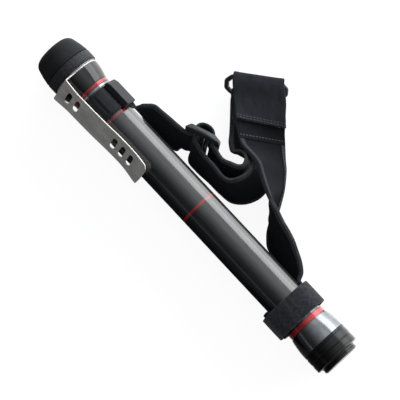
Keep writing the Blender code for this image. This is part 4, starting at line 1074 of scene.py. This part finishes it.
class SHAFT_OT_rear_band(bpy.types.Operator):
    """Hook-and-loop band near the butt, and the hook tab under it"""

    bl_idname = "shaft.rear_band"
    bl_label = "Rear band"

    def execute(self, context):
        colours = context.scene.shaft_colours
        half = 1.6 * MM
        loop = softened([
            (band_rear, -half), (band_rear, half), ((band_rear + band_front) / 2, half + 0.1 * MM),
            (band_front, half), (band_front, -half),
        ], 0.9 * MM, True, 6)
        turn = np.linspace(0, FULL_TURN, 240, endpoint=False)[:, None]
        middle = band_radius(turn)
        # the cloth's own unevenness: a slow wave round it and a faster one along it
        ripple = 0.1 * MM * np.sin(turn * 23 + loop[:, 0] / MM * 0.5) * np.sin(turn * 7 + loop[:, 0] / MM)
        out = middle + loop[:, 1] + np.where(loop[:, 1] > 0, ripple, 0)
        points = np.stack(np.broadcast_arrays(loop[:, 0], out * np.cos(turn), out * np.sin(turn)), axis=-1)
        patch = points, grid_faces(len(turn), len(loop), True, True)
        band = make_piece("band_dressed", [patch], loop_fabric(colours))
        carry(band, "shaft", "loop_webbing", "rear_band")

        low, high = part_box("band_tab")
        inner, outer = seat_r, seat_r + 5.9 * MM
        middle = (low.x + high.x) / 2
        layers = [
            (high.x, outer), ((high.x + middle) / 2, outer), (low.x, outer), (low.x, (inner + outer) / 2 + 0.2 * MM),
            (low.x + 0.4 * MM, (inner + outer) / 2), (low.x, (inner + outer) / 2 - 0.2 * MM), (low.x, inner),
            (high.x, inner), (high.x, (inner + outer) / 2 - 0.2 * MM),
            (high.x - 0.4 * MM, (inner + outer) / 2), (high.x, (inner + outer) / 2 + 0.2 * MM),
        ]
        profile = softened(layers, 0.5 * MM, True)
        turn = np.radians(np.linspace(-33, 33, 40))
        centre = np.array((middle, (inner + outer) / 2))
        shrink = np.concatenate(((0.0, 0.9), np.ones(36), (0.9, 0.0)))[:, None]
        x = centre[0] + (profile[:, 0] - centre[0]) * shrink
        radius = centre[1] + (profile[:, 1] - centre[1]) * shrink
        turn = turn[:, None]
        turn[1], turn[-2] = turn[0] + 0.004, turn[-1] - 0.004
        points = np.stack(np.broadcast_arrays(x, radius * np.cos(turn), radius * np.sin(turn)), axis=-1)
        tab = make_piece("tab_dressed", [(points, grid_faces(40, len(profile), False, True))], hook_tape())
        carry(tab, "shaft", "loop_webbing", "band_tab")
        return {"FINISHED"}


# The strap's layout on the table, as in the part's source: to the right and down the
# layout from a point beside the pole, and height above the table, in millimetres.
LAY_TURN = math.radians(46.93)
lay_origin = np.array(((clamp_front + clamp_rear) / 4 + band_middle / 2, -tube_r, table_z))
lay_right = np.array((-math.cos(LAY_TURN), -math.sin(LAY_TURN), 0.0))
lay_down = np.array((-math.sin(LAY_TURN), math.cos(LAY_TURN), 0.0))
RING_UPPER = np.array(((11.8, -121.0, 15.5), (71.8, -111.4, 15.5)))
RING_LOWER = np.array(((10.2, -105.8, 4.8), (70.3, -97.4, 4.8)))
RING_WIRE_R = 2.0 * MM
BUCKLE_LEFT = np.array((-31.6, -57.4, 25.8))
BUCKLE_ACROSS = np.array((0.889, 0.458, -0.015))
BUCKLE_UP = np.array((0.17, -0.30, 0.94))
LABEL_FROM, LABEL_TO = -77.0, -55.0
ROW_SPACING = 1.5 * MM
TO_WORLD = np.array((lay_right, lay_down, (0, 0, 1)))


def lay(point):
    """World place of points of the strap's layout."""
    return lay_origin + MM * (np.asarray(point, float) @ TO_WORLD)


class StrapPath:
    """Rows of points across a strap, put down one after the other and joined smoothly."""

    def __init__(self, shares):
        self.shares = shares
        self.rows, self.levels = [], []
        self.level = 0.0

    def put(self, row):
        """Keeps a row and how much of their swell the bound edges have there."""
        self.rows.append(row)
        self.levels.append(self.level)

    def flat(self, upper, lower, bulge=0.0):
        """Row between two points of the layout, its middle pushed to the right."""
        start, end = lay(upper), lay(lower)
        share = self.shares[:, None]
        push = 4 * share * (1 - share) * bulge * MM
        self.put(start + (end - start) * share + lay_right * push)

    def between(self, start, end):
        """Straight row between two world points."""
        self.put(start + (end - start) * self.shares[:, None])

    def hug(self, x, radius, upper, lower):
        """Row on an arc round the pole between two angles in degrees."""
        turn = np.radians(upper + (lower - upper) * self.shares)
        self.put(np.column_stack((np.full(len(turn), x), radius * np.cos(turn), radius * np.sin(turn))))

    def fold(self, bar, from_share, to_shares, radius, first, last):
        """Rows of a fold round a bar of the ring, between two angles in degrees; its right
        edge moves from one share of the bar's length to another."""
        left = bar[0] + (bar[1] - bar[0]) * from_share
        way = (bar[1] - bar[0]) / np.linalg.norm(bar[1] - bar[0])
        away = np.array((way[1], -way[0], 0.0))
        for step in np.linspace(0, 1, 7):
            turn = math.radians(first + (last - first) * step)
            right = bar[0] + (bar[1] - bar[0]) * (to_shares[0] + (to_shares[1] - to_shares[0]) * step)
            offset = (away * math.cos(turn) + np.array((0, 0, 1)) * math.sin(turn)) * radius / MM
            self.flat(left + offset, right + offset)

    def smooth(self):
        """Curve through the rows: a cubic in each span, whose slopes at its ends are the
        slopes of the two spans there, each weighed by the other's length. With it come the
        levels of the edges' swell, straight from row to row."""
        rows = np.array(self.rows)
        spans = np.linalg.norm(np.diff(rows, axis=0), axis=2).mean(axis=1)
        slopes = np.diff(rows, axis=0) / spans[:, None, None]
        before, after = spans[:-1, None, None], spans[1:, None, None]
        inner = (slopes[:-1] * after + slopes[1:] * before) / (before + after)
        tangents = np.concatenate((slopes[:1], inner, slopes[-1:]))
        pieces, levels = [], []
        for index, span in enumerate(spans):
            steps = max(2, round(span / ROW_SPACING))
            share = (np.arange(steps) / steps)[:, None, None]
            square, cube = share ** 2, share ** 3
            pieces.append(
                rows[index] * (2 * cube - 3 * square + 1) + rows[index + 1] * (3 * square - 2 * cube)
                + tangents[index] * span * (cube - 2 * square + share)
                + tangents[index + 1] * span * (cube - square))
            levels.append(self.levels[index] + (self.levels[index + 1] - self.levels[index]) * share[:, 0, 0])
        return np.concatenate((*pieces, rows[-1:])), np.concatenate((*levels, self.levels[-1:]))


def strap_shares(width, binding):
    """Places across a strap: close together in its rounded edges and at its bindings."""
    edge = np.array((0, 0.1, 0.3, 0.6, 1.0, 2.2, 3.4)) * MM
    step = binding + np.array((-0.35, 0.0, 0.35, 0.9)) * MM
    side = np.concatenate((edge, step)) / width
    middle = np.linspace(side[-1], 1 - side[-1], 16)[1:-1]
    return np.concatenate((side, middle, 1 - side[::-1]))


def strap_patch(rows, shares, width, thickness, binding, offset=0.0, relief=None, swell=0.0):
    """Closed strap: its upper and lower faces stand off the rows' surface by half of its
    thickness, with flat edges and ends whose corners are quarter circles, and by the swell
    as well on its bindings.

    The map gives the distance across and along in metres.
    """
    near, far = rows[:1], rows[-1:]
    ends = np.array((0.0, 0.07, 0.2, 0.45, 0.7))[:, None, None]
    rows = np.concatenate((near + (rows[1:2] - near) * ends, rows[1:-1], far + (rows[-2:-1] - far) * ends[::-1]))
    swell = np.broadcast_to(swell, (len(rows) - 2 * (len(ends) - 1),)) if np.ndim(swell) else np.full(len(rows), swell)
    if len(swell) < len(rows):
        swell = np.concatenate((np.full(len(ends) - 1, swell[0]), swell, np.full(len(ends) - 1, swell[-1])))
    along = np.gradient(rows, axis=0)
    across = np.gradient(rows, axis=1)
    normal = np.cross(along, across)
    normal /= np.linalg.norm(normal, axis=2, keepdims=True)
    from_edge = np.minimum(shares, 1 - shares) * width
    half = thickness / 2
    corner = min(0.9 * MM, 0.8 * half)

    def rounded(distance):
        """Share of the half thickness at a distance from an edge."""
        rest = 1 - np.clip(distance / corner, 0, 1)
        return 1 - corner / half * (1 - np.sqrt(np.clip(1 - rest ** 2, 0, 1)))

    panel = np.clip((from_edge - binding) / (0.7 * MM), 0, 1)
    panel = panel * panel * (3 - 2 * panel)
    spans = np.linalg.norm(np.diff(rows, axis=0), axis=2).mean(axis=1)
    run = np.concatenate(((0,), np.cumsum(spans)))
    taper = rounded(np.minimum(run, run[-1] - run))
    taper[[0, -1]] = 0
    bow = rounded(from_edge)
    depth = half * bow - 0.2 * MM * panel + swell[:, None] * (1 - panel) * bow
    lift = taper[:, None] * depth
    top_lift = lift if relief is None else lift + relief(run, shares * width) * (taper[:, None] * bow)
    top = rows + normal * (offset + top_lift)[..., None]
    bottom = rows + normal * (offset - lift)[..., None]
    points = np.concatenate((top, bottom[:, ::-1]), axis=1)
    distance = np.broadcast_to(shares * width, rows.shape[:2])
    length = np.broadcast_to(run[:, None], rows.shape[:2])
    top_map = np.stack((distance, length), axis=-1)
    points_map = np.concatenate((top_map, top_map[:, ::-1]), axis=1)
    return points, grid_faces(*points.shape[:2], False, True), points_map


def buckle_frame():
    """World directions of the buckle: across its bars, out of its plane, along its bars."""
    up = BUCKLE_UP / np.linalg.norm(BUCKLE_UP)
    across = BUCKLE_ACROSS - up * float(BUCKLE_ACROSS @ up)
    across /= np.linalg.norm(across)
    return across @ TO_WORLD, np.cross(across, up) @ TO_WORLD, up @ TO_WORLD


class SHAFT_OT_webbing(bpy.types.Operator):
    """Adjuster webbing from the clamp through the buckle, round the ring and back"""

    bl_idname = "shaft.webbing"
    bl_label = "Adjuster webbing"

    def execute(self, context):
        colours, sizes = context.scene.shaft_colours, context.scene.shaft_sizes
        width = 44 * MM
        shares = strap_shares(width, sizes.binding_width)
        path = StrapPath(shares)
        mouth = clamp_rear - 3 * MM
        tunnel_end = mouth + 26.6 * MM - 3 * MM - 1.5 * MM
        tongue_r = clamp_r + gap + sizes.webbing_thickness / 2
        to_model = beside_pole(math.radians(148))
        for x in (tunnel_end, (tunnel_end + mouth) / 2, mouth + 1.5 * MM, mouth - 0.5 * MM):
            path.between(to_model((x, 4.5 * MM, tongue_r)), to_model((x, -4.5 * MM, tongue_r)))
        across, out, up = buckle_frame()
        half = up * 21.5 * MM

        def through(places):
            """Rows in the buckle, by their places across its bars and out of its plane."""
            for along, away in places:
                middle = lay(BUCKLE_LEFT) + MM * (along * across + away * out)
                path.between(middle + half, middle - half)

        for upper, lower in (
            ((-74.6, -87.4, 39), (-79.3, -84.6, 15.5)), ((-71.5, -88.0, 41.5), (-77.3, -82.3, 9)),
            ((-66, -88.3, 42), (-71.3, -75.0, 4)), ((-61, -88.3, 42), (-66.4, -68.2, 2.2)),
            ((-58.4, -87.5, 42), (-63, -65.0, 2)), ((-53.5, -83.5, 42), (-57.5, -59.5, 1.9)),
            ((-43.5, -75.0, 42), (-47, -51.5, 1.9)), ((-36.1, -68.4, 43.5), (-40.5, -46.5, 2.7)),
        ):
            path.flat(upper, lower)
            path.level = 1.0
        path.level = 0.0
        through((
            (1.5, -1.9), (5.5, -1.8), (8.3, -0.9), (9.1, 1.0), (8.9, 4.5), (9.1, 8.8), (10.8, 12.2), (14.4, 14.3),
            (18.0, 14.8), (22.4, 14.0), (26.1, 11.6), (28.6, 8.2), (29.9, 4.0), (30.0, -1.5),
        ))
        path.level = 1.0
        for upper, lower in (
            ((2.0, -44.0, 45), (-8.8, -31.0, 3)), ((9.9, -33.1, 44), (0.5, -18.5, 2.2)),
            ((17.2, -30.0, 43), (10, -10.5, 1.9)), ((26.0, -27.2, 41.5), (20, -5, 1.9)),
            ((30, -28.5, 40), (27.5, -5, 1.9)), ((32, -33.5, 37.5), (33, -9, 1.9)),
            ((30.5, -40, 34), (38, -15.5, 1.9)), ((25, -43.5, 30), (42, -22.5, 1.9)),
            ((17.5, -43.0, 25), (47, -30.5, 1.9)), ((14.0, -51.5, 20), (52.5, -41.5, 1.9)),
            ((13.9, -63, 13), (57, -56, 1.9)), ((13.9, -75, 7), (60.5, -68, 1.9)),
            ((13.9, -88, 3.3), (63, -80.5, 2.1)), ((14.3, -99.0, 2.2), (64.2, -92.8, 2.2)),
        ):
            path.flat(upper, lower)
        path.level = 0.0
        turn_r = RING_WIRE_R + gap + sizes.webbing_thickness / 2
        path.fold(RING_LOWER, 0.085, (0.905, 0.905), turn_r, -90, 90)
        path.level = 1.0
        for upper, lower in (
            ((15.2, -95, 8.8), (64.5, -88, 8.4)), ((15.6, -86.5, 10.9), (64, -79.5, 7.2)),
            ((17, -77, 13.5), (63, -69, 6.2)), ((19.8, -69.5, 16.5), (61.5, -57.5, 5.2)),
            ((24, -61, 19), (60, -46.5, 3.8)), ((28.5, -53, 22.5), (59.5, -34.5, 2.2)),
            ((35.5, -42.5, 25.5), (58.5, -22.5, 1.9)), ((38.5, -35, 30), (54.5, -10, 1.9)),
            ((39.5, -30, 36), (47.5, -1, 1.9)), ((33.5, -20.5, 40.5), (39, 5, 1.9)),
            ((25.5, -15, 42), (27, 8, 1.9)), ((17, -13, 42.5), (15, 6, 1.9)),
            ((10.5, -15.5, 43), (5, -2, 1.9)), ((0.5, -27.5, 44), (-6.5, -13.5, 1.9)),
            ((-9.5, -38.5, 45), (-20.5, -26.5, 2)), ((-15, -47.5, 46), (-27.2, -35, 3)),
        ):
            path.flat(upper, lower)
        path.level = 0.0
        through((
            (12.6, -4.6), (13.4, -1.8), (14.2, 3.4), (14.9, 5.3), (16.4, 6.4), (19.0, 6.6),
            (21.8, 6.4), (23.7, 5.3), (24.8, 3.4), (25.9, -1.0), (26.6, -5.0), (26.7, -8.5),
        ))
        rows, levels = path.smooth()
        patch = strap_patch(
            rows, shares, width, sizes.webbing_thickness, sizes.binding_width, swell=levels * sizes.edge_swell)
        cloth = woven(colours, "bound_webbing", tuple(colours.webbing), width, sizes, 1.8 * MM)
        webbing = make_piece("webbing_dressed", [patch], cloth)
        carry(webbing, "shaft", "webbing", "adjuster_strap")
        webbing.visible_glossy = False
        return {"FINISHED"}


class SHAFT_OT_shoulder_strap(bpy.types.Operator):
    """Shoulder strap from its flap over the ring, through its twist to the band, and its bare label"""

    bl_idname = "shaft.shoulder_strap"
    bl_label = "Shoulder strap"

    def execute(self, context):
        colours, sizes = context.scene.shaft_colours, context.scene.shaft_sizes
        width = 50 * MM
        thickness = sizes.strap_thickness
        shares = strap_shares(width, sizes.binding_width)
        path = StrapPath(shares)
        for upper, lower in (
            ((21.6, -76.3, 23.3), (71.2, -66.8, 14.2)), ((20.2, -88, 20), (71, -80, 17)),
            ((18.6, -99, 18.6), (71.5, -91, 18)),
        ):
            path.flat(upper, lower)
        path.fold(RING_UPPER, 0.1, (0.965, 0.935), RING_WIRE_R + gap + thickness / 2, 90, -90)
        for upper, lower, bulge in (
            ((18.5, -99.5, 13), (68, -91.2, 12.5), 0), ((19.2, -86, 15.2), (69.5, -79, 11.5), 0),
            ((21, -76, 18.5), (70, -70, 10), 0), ((22.3, -67.5, 22), (69.5, -62, 7), 0),
            ((23.6, -59.5, 26), (69.5, -55.5, 4.2), 0), ((27.5, -48.5, 31.5), (69.5, -43.5, 2.4), 0),
            ((36.5, -38.5, 37), (69.5, -34.5, 2.2), 0), ((42.5, -31.5, 40.5), (70, -27.5, 2.2), 0),
            ((48.3, -15, 43), (69, -14, 2.2), 0), ((54.2, 1.5, 45), (67.5, -4, 2.2), -1),
            ((60.3, 12, 46), (65.5, 6, 2.2), -7), ((65.5, 21, 46), (62.5, 15.5, 2.2), -8),
            ((70.2, 30, 45.5), (57.5, 24, 2.2), -8), ((75.2, 39, 44.5), (53.4, 33, 2.2), -3),
            ((79.8, 48.5, 43), (51.9, 43, 2.2), 0), ((83.4, 58.5, 41), (53, 53, 2.6), 0),
            ((86.2, 67, 39), (59.5, 62, 3), 0), ((87.7, 74.5, 37), (65.5, 71, 5), 0),
            ((87.7, 80, 35), (73, 79.5, 10), 0),
        ):
            path.level = float(upper[1] > -50)
            path.flat(upper, lower, bulge)
        hug_r = seat_r + gap + thickness / 2
        for x, upper, lower in (
            (band_front + 2.5 * MM, 160, 214), (band_front - 2 * MM, 158, 212),
            (band_middle, 157, 210), (band_rear + 2 * MM, 157, 210),
        ):
            path.hug(x, hug_r, upper, lower)
        rows, levels = path.smooth()

        def wrinkles(run, across):
            """Soft wrinkles on the flap's face: crossed slow waves that fade past the fold."""
            fade = np.clip((34 * MM - run) / (8 * MM), 0, 1)[:, None]
            first = np.sin(run[:, None] / (5.5 * MM) + across / (23 * MM))
            second = np.sin(run[:, None] / (9 * MM) - across / (8 * MM) + 1.3)
            return -fade * (0.35 * MM) * (first * second)

        patch = strap_patch(
            rows, shares, width, thickness, sizes.binding_width, relief=wrinkles, swell=levels * sizes.edge_swell)
        cloth = woven(
            colours, "bound_neoprene", tinted(colours.strap, 0.32), width, sizes, 2.2 * MM,
            (2.2 * MM, 4.6 * MM), 50 * MM, tuple(colours.strap))
        strap = make_piece("strap_dressed", [patch], cloth)
        carry(strap, "shaft", "neoprene", "shoulder_strap")
        strap.visible_glossy = False

        down = (rows[:, 0] - lay_origin) @ lay_down / MM
        folded = int(np.argmin(down))
        covered = np.flatnonzero((down > LABEL_FROM) & (down < LABEL_TO) & (np.arange(len(down)) > folded))
        inset = 0.015
        label_width = width * (1 - 2 * inset)
        label_shares = strap_shares(label_width, 1.4 * MM)
        columns = inset + (1 - 2 * inset) * label_shares
        kept = rows[covered[0]:covered[-1] + 1]
        start, end = kept[:, :1], kept[:, -1:]
        label_rows = start + (end - start) * columns[None, :, None]
        along = np.gradient(label_rows, axis=0)[0, 20]
        side = math.copysign(1.0, float(np.cross(along, (end - start)[0, 0])[2]))
        label_t = 0.8 * MM
        patch = strap_patch(
            label_rows, label_shares, label_width, label_t, 1.4 * MM,
            offset=side * (thickness / 2 + gap + label_t / 2))
        woven_label = woven(
            colours, "woven_label", linear("#1A1B1F"), label_width, sizes, 1.2 * MM, (1.0 * MM, 17 * MM), 1.0)
        label = make_piece("label_dressed", [patch], woven_label)
        carry(label, "shaft", "label_fabric", "label_patch")
        label.visible_glossy = False
        return {"FINISHED"}


class SHAFT_OT_buckle_and_ring(bpy.types.Operator):
    """Three-bar buckle and the rectangular strap ring"""

    bl_idname = "shaft.buckle_and_ring"
    bl_label = "Buckle and ring"

    def execute(self, context):
        colours = context.scene.shaft_colours
        acetal = plain_moulding("moulded_acetal", tuple(colours.acetal), 0.42, 1.48)
        corners = lay(np.array((RING_LOWER[0], RING_LOWER[1], RING_UPPER[1], RING_UPPER[0])))
        side = corners[1] - corners[0]
        rise = corners[3] - corners[0]
        normal = np.cross(side, rise)
        normal /= np.linalg.norm(normal)
        path = bent_corners(chamfered(corners, 5.6 * MM), 1.0 * MM, 5, 5)
        turn = np.linspace(0, FULL_TURN, 20, endpoint=False)
        wire = np.column_stack((1.12 * np.cos(turn), np.sin(turn))) * RING_WIRE_R
        points, faces = swept(path, normal, wire)
        # the wire is thicker at its left end, which no strap covers
        away = (corners.mean(axis=0) - path) @ side / np.linalg.norm(side)
        thicker = 1 + 0.2 * np.clip((away - 24.5 * MM) / (3 * MM), 0, 1)
        points = path[:, None] + (points - path[:, None]) * thicker[:, None, None]
        ring = make_piece("ring_dressed", [(points, faces)], acetal)
        carry(ring, "shaft", "black_nylon", "strap_ring")
        ring.visible_glossy = False

        across, out, up = buckle_frame()
        width, length, thick, bar = 38 * MM, 51 * MM, 4.5 * MM, 5 * MM
        end_bar = (length - 45 * MM) / 2
        centre = lay(BUCKLE_LEFT) + across * width / 2 + out * thick / 2
        outer = rounded_rectangle(width / 2, length / 2, 5 * MM, 8)
        inner = rounded_rectangle(width / 2 - bar - 1.2 * MM, length / 2 - end_bar, 1.5 * MM, 8)
        # the frame's section is a soft square between the outer and the inner outline
        section = softened([(0, -1), (0, 1), (1, 1), (1, -1)], 0.3, True, 4)
        share, height = section[:, 0][None, :, None], section[:, 1][None, :, None]
        flat = outer[:, None] + (inner - outer)[:, None] * share
        height = np.broadcast_to(height * thick / 2, (*flat.shape[:2], 1))
        points = centre + flat[..., :1] * across + flat[..., 1:] * up + height * out
        patches = [(points, grid_faces(*points.shape[:2], True, True))]
        post = softened([(-bar / 2, -thick / 2), (bar / 2, -thick / 2), (bar / 2, thick / 2), (-bar / 2, thick / 2)],
                        1.3 * MM, True, 4)
        reach_up = np.array((-1, 1)) * (length / 2 - end_bar / 2)
        bars = centre + reach_up[:, None, None] * up + post[None, :, :1] * across + post[None, :, 1:] * out
        ends = bars.mean(axis=1, keepdims=True) + np.zeros_like(bars)
        bars = np.concatenate((ends[:1], bars, ends[1:]))
        patches.append((bars, grid_faces(4, len(post), False, True)))
        # the far end is a broad plate with bevelled shoulders, which shows beside the webbing's loop
        plate = softened([(0, -1), (0.4, 0.6), (3.9, 5.2), (30.5, 5.5), (36.4, 2.6), (37.6, -1)], 1.2, True, 4) * MM
        corner = centre - across * width / 2 - out * thick / 2
        patches.append(prism(
            plate, length / 2 - end_bar, length / 2 + 3 * MM, 0.6 * MM,
            lambda points: corner + points @ np.array((across, out, up))))
        buckle = make_piece("buckle_dressed", patches, acetal)
        carry(buckle, "shaft", "black_nylon", "tri_glide")
        buckle.visible_glossy = False
        return {"FINISHED"}


def chamfered(corners, length):
    """Two points for each corner, a length before and after it on its two sides."""
    before, after = np.roll(corners, 1, axis=0) - corners, np.roll(corners, -1, axis=0) - corners
    ways = np.stack((before, after), axis=1)
    ways /= np.linalg.norm(ways, axis=2, keepdims=True)
    return (corners[:, None] + ways * length).reshape(-1, 3)


def bent_corners(corners, radius, steps=8, per_side=10):
    """Closed path along straight sides whose corners are quadratic curves."""
    share = np.linspace(0, 1, steps + 1)[:, None]
    path = []
    count = len(corners)
    for index in range(count):
        corner, back, ahead = corners[index], corners[index - 1], corners[(index + 1) % count]
        start = corner + (back - corner) / np.linalg.norm(back - corner) * radius
        end = corner + (ahead - corner) / np.linalg.norm(ahead - corner) * radius
        path.append(start * (1 - share) ** 2 + 2 * corner * share * (1 - share) + end * share ** 2)
        following = ahead + (corner - ahead) / np.linalg.norm(corner - ahead) * radius
        path.append(end + (following - end) * np.linspace(0, 1, per_side + 1)[1:-1, None])
    return np.concatenate(path)


# Stage

CAMERA_TILT = math.radians(7)       # view leans from straight down towards the butt
CAMERA_ROLL = math.radians(133.07)  # picture's right, turned from the pole's direction
CAMERA_DISTANCE = 2.4
CAMERA_TARGET = Vector((0.215, 0, 0))
PICTURE_SIDE = 400                  # pixels
TARGET_PIXEL = (194.4, 202.9)       # where the target lies in the picture


class SHAFT_OT_stage(bpy.types.Operator):
    """Pale floor, soft studio light from the strap's side and the picture's camera"""

    bl_idname = "shaft.stage"
    bl_label = "Stage"

    def execute(self, context):
        scene = context.scene
        half = 5.0
        points = np.array([(-half, -half, table_z), (half, -half, table_z), (-half, half, table_z), (half, half, table_z)])
        floor = make_piece("floor", [(points + np.array((0.2, 0, 0)), grid_faces(2, 2))], self.floor_paint())
        if floor.data.polygons[0].normal.z < 0:
            floor.data.flip_normals()
        self.add_light("key", (0.25, -1.3, 0.39), (0.25, 0, 0.39), (2.6, 0.84), 4.5)
        self.add_light("edge_strip", (0.2, 1.3, 0.62), (0.2, 0, 0.0), (1.8, 0.16), 0.35)
        self.light_world(scene)
        tilt, roll = CAMERA_TILT, CAMERA_ROLL
        back = Vector((-math.sin(tilt), 0, math.cos(tilt)))
        along = Vector((math.cos(tilt), 0, math.sin(tilt)))
        aside = Vector((0, 1, 0))
        right = math.cos(roll) * along - math.sin(roll) * aside
        up = math.sin(roll) * along + math.cos(roll) * aside
        lens = bpy.data.cameras.new("camera")
        lens.sensor_width, lens.lens = 36, 216
        lens.shift_x = (PICTURE_SIDE / 2 - TARGET_PIXEL[0]) / PICTURE_SIDE
        lens.shift_y = (TARGET_PIXEL[1] - PICTURE_SIDE / 2) / PICTURE_SIDE
        lens.clip_end = 50
        camera = bpy.data.objects.new("camera", lens)
        place = Matrix((right, up, back)).transposed().to_4x4()
        place.translation = CAMERA_TARGET + back * CAMERA_DISTANCE
        camera.matrix_world = place
        scene.collection.objects.link(camera)
        scene.camera = camera
        scene.view_settings.view_transform = "Standard"
        return {"FINISHED"}

    def floor_paint(self):
        """Matt floor that the camera sees as white, with the object's soft shadow.

        In reflections it shows a painted glow, bright on the key's side and dark on the other, by its Y, with painted
        shade beside the straps.
        """
        material, tree, shader, place = start_material(
            "pale_floor", (0.3, 0.3, 0.3), 0.9, {"Specular IOR Level": 0.0})
        rays = add(tree, "LightPath")
        glossy = rays.outputs["Is Glossy Ray"]
        tree.links.new(blended(tree, glossy, (0.3, 0.3, 0.3), (0, 0, 0)), shader.inputs["Base Color"])
        spot = add(tree, "SeparateXYZ", links={"Vector": place})
        aside = spot.outputs[1]
        # painted reflection: a glow that only glossy rays see, graded by Y
        painted_glow = graded(tree, ranged(tree, aside, 0, 1, -0.3, 0.1), 3.4, (
            (0.0, 3.4), (0.275, 3.2), (0.54, 2.5), (0.635, 2.1), (0.75, 1.2), (0.87, 0.06), (1.0, 0.035)))
        # painted shade: beside the straps the glow is cut to near nothing, which gives the tube its dark rim
        painted_strap_shade = figure(tree, "MULTIPLY", figure(tree, "COMPARE", spot.outputs[0], 0.19, 0.13), ranged(
            tree, aside, 0, 1, -0.088, -0.066))
        painted_glow = figure(tree, "MULTIPLY", painted_glow, figure(tree, "MULTIPLY_ADD", painted_strap_shade, -0.98, 1.0))
        seen = figure(tree, "MAXIMUM", rays.outputs["Is Camera Ray"], rays.outputs["Is Transmission Ray"])
        level = figure(tree, "ADD", figure(tree, "MULTIPLY", seen, 0.9), figure(tree, "MULTIPLY", glossy, painted_glow))
        glow = add(tree, "Emission", links={"Color": (1, 1, 1, 1), "Strength": level})
        both = add(tree, "AddShader", links={0: shader.outputs[0], 1: glow.outputs[0]})
        tree.links.new(both.outputs[0], tree.nodes["Material Output"].inputs["Surface"])
        return material

    def add_light(self, name, place, target, size, radiance):
        """Rectangular soft light of a given radiance: its power is pi times that and its area."""
        light = bpy.data.lights.new(name, "AREA")
        light.shape = "RECTANGLE"
        light.size, light.size_y = size
        light.energy = radiance * math.pi * size[0] * size[1]
        light.color = (0.96, 0.985, 1.0)
        piece = bpy.data.objects.new(name, light)
        piece.location = place
        piece.rotation_euler = (Vector(target) - Vector(place)).to_track_quat("-Z", "Y").to_euler()
        piece.visible_camera = False
        bpy.context.scene.collection.objects.link(piece)

    def light_world(self, scene):
        """Studio room: white to the camera, brighter on the key's side and darker opposite."""
        world = bpy.data.worlds.new("studio")
        world.use_nodes = True
        scene.world = world
        tree = world.node_tree
        tree.nodes.clear()
        way = add(tree, "TexCoord").outputs["Generated"]
        aside = add(tree, "SeparateXYZ", links={"Vector": way}).outputs[1]
        room_level = graded(tree, figure(tree, "MULTIPLY_ADD", aside, 0.5, 0.5), 1.4, (
            (0.0, 1.0), (0.155, 1.25), (0.22, 1.35), (0.295, 1.25), (0.375, 0.85), (0.455, 0.68), (0.545, 0.45),
            (0.625, 0.28), (0.705, 0.16), (0.78, 0.1), (0.845, 0.06), (1.0, 0.035)))
        rays = add(tree, "LightPath")
        shiny = figure(tree, "MAXIMUM", rays.outputs["Is Glossy Ray"], rays.outputs["Is Transmission Ray"])
        # matt surfaces take a dimmer, even light from the room, glossy ones its real steps
        strength = figure(tree, "ADD", figure(tree, "MULTIPLY", shiny, room_level), figure(
            tree, "MULTIPLY", figure(tree, "SUBTRACT", 1.0, shiny), 0.3))
        room = add(tree, "Background", links={"Color": (0.97, 0.985, 1, 1), "Strength": strength})
        white = add(tree, "Background", links={"Color": (1, 1, 1, 1), "Strength": 1.0})
        mixed = add(tree, "MixShader", links={
            0: rays.outputs["Is Camera Ray"], 1: room.outputs[0], 2: white.outputs[0]})
        output = add(tree, "OutputWorld")
        tree.links.new(mixed.outputs[0], output.inputs["Surface"])


class SHAFT_PT_panel(bpy.types.Panel):
    """Lists the sizes, the colours and the pieces to make"""

    bl_idname = "SHAFT_PT_panel"
    bl_label = "Net shaft"
    bl_space_type = "VIEW_3D"
    bl_region_type = "UI"
    bl_category = "Net shaft"

    def draw(self, context):
        layout = self.layout
        for group in (context.scene.shaft_sizes, context.scene.shaft_colours):
            box = layout.box()
            for name in group.__annotations__:
                box.prop(group, name)
        for operator in OPERATORS:
            layout.operator(operator.bl_idname)


OPERATORS = (
    SHAFT_OT_pole, SHAFT_OT_net_end, SHAFT_OT_butt_end, SHAFT_OT_hidden_fittings,
    SHAFT_OT_strap_clamp, SHAFT_OT_belt_clip, SHAFT_OT_rear_band, SHAFT_OT_webbing,
    SHAFT_OT_shoulder_strap, SHAFT_OT_buckle_and_ring, SHAFT_OT_stage,
)
CLASSES = (ShaftSizes, ShaftColours, *OPERATORS, SHAFT_PT_panel)


def register():
    """Registers the classes and puts the two groups of settings on the scene."""
    for item in CLASSES:
        bpy.utils.register_class(item)
    bpy.types.Scene.shaft_sizes = bpy.props.PointerProperty(type=ShaftSizes)
    bpy.types.Scene.shaft_colours = bpy.props.PointerProperty(type=ShaftColours)


def unregister():
    """Takes the settings and the classes away again."""
    del bpy.types.Scene.shaft_colours
    del bpy.types.Scene.shaft_sizes
    for item in reversed(CLASSES):
        bpy.utils.unregister_class(item)


def main():
    """Makes every piece and the stage."""
    register()
    for operator in OPERATORS:
        group, name = operator.bl_idname.split(".")
        getattr(getattr(bpy.ops, group), name)()


if __name__ == "__main__":
    main()
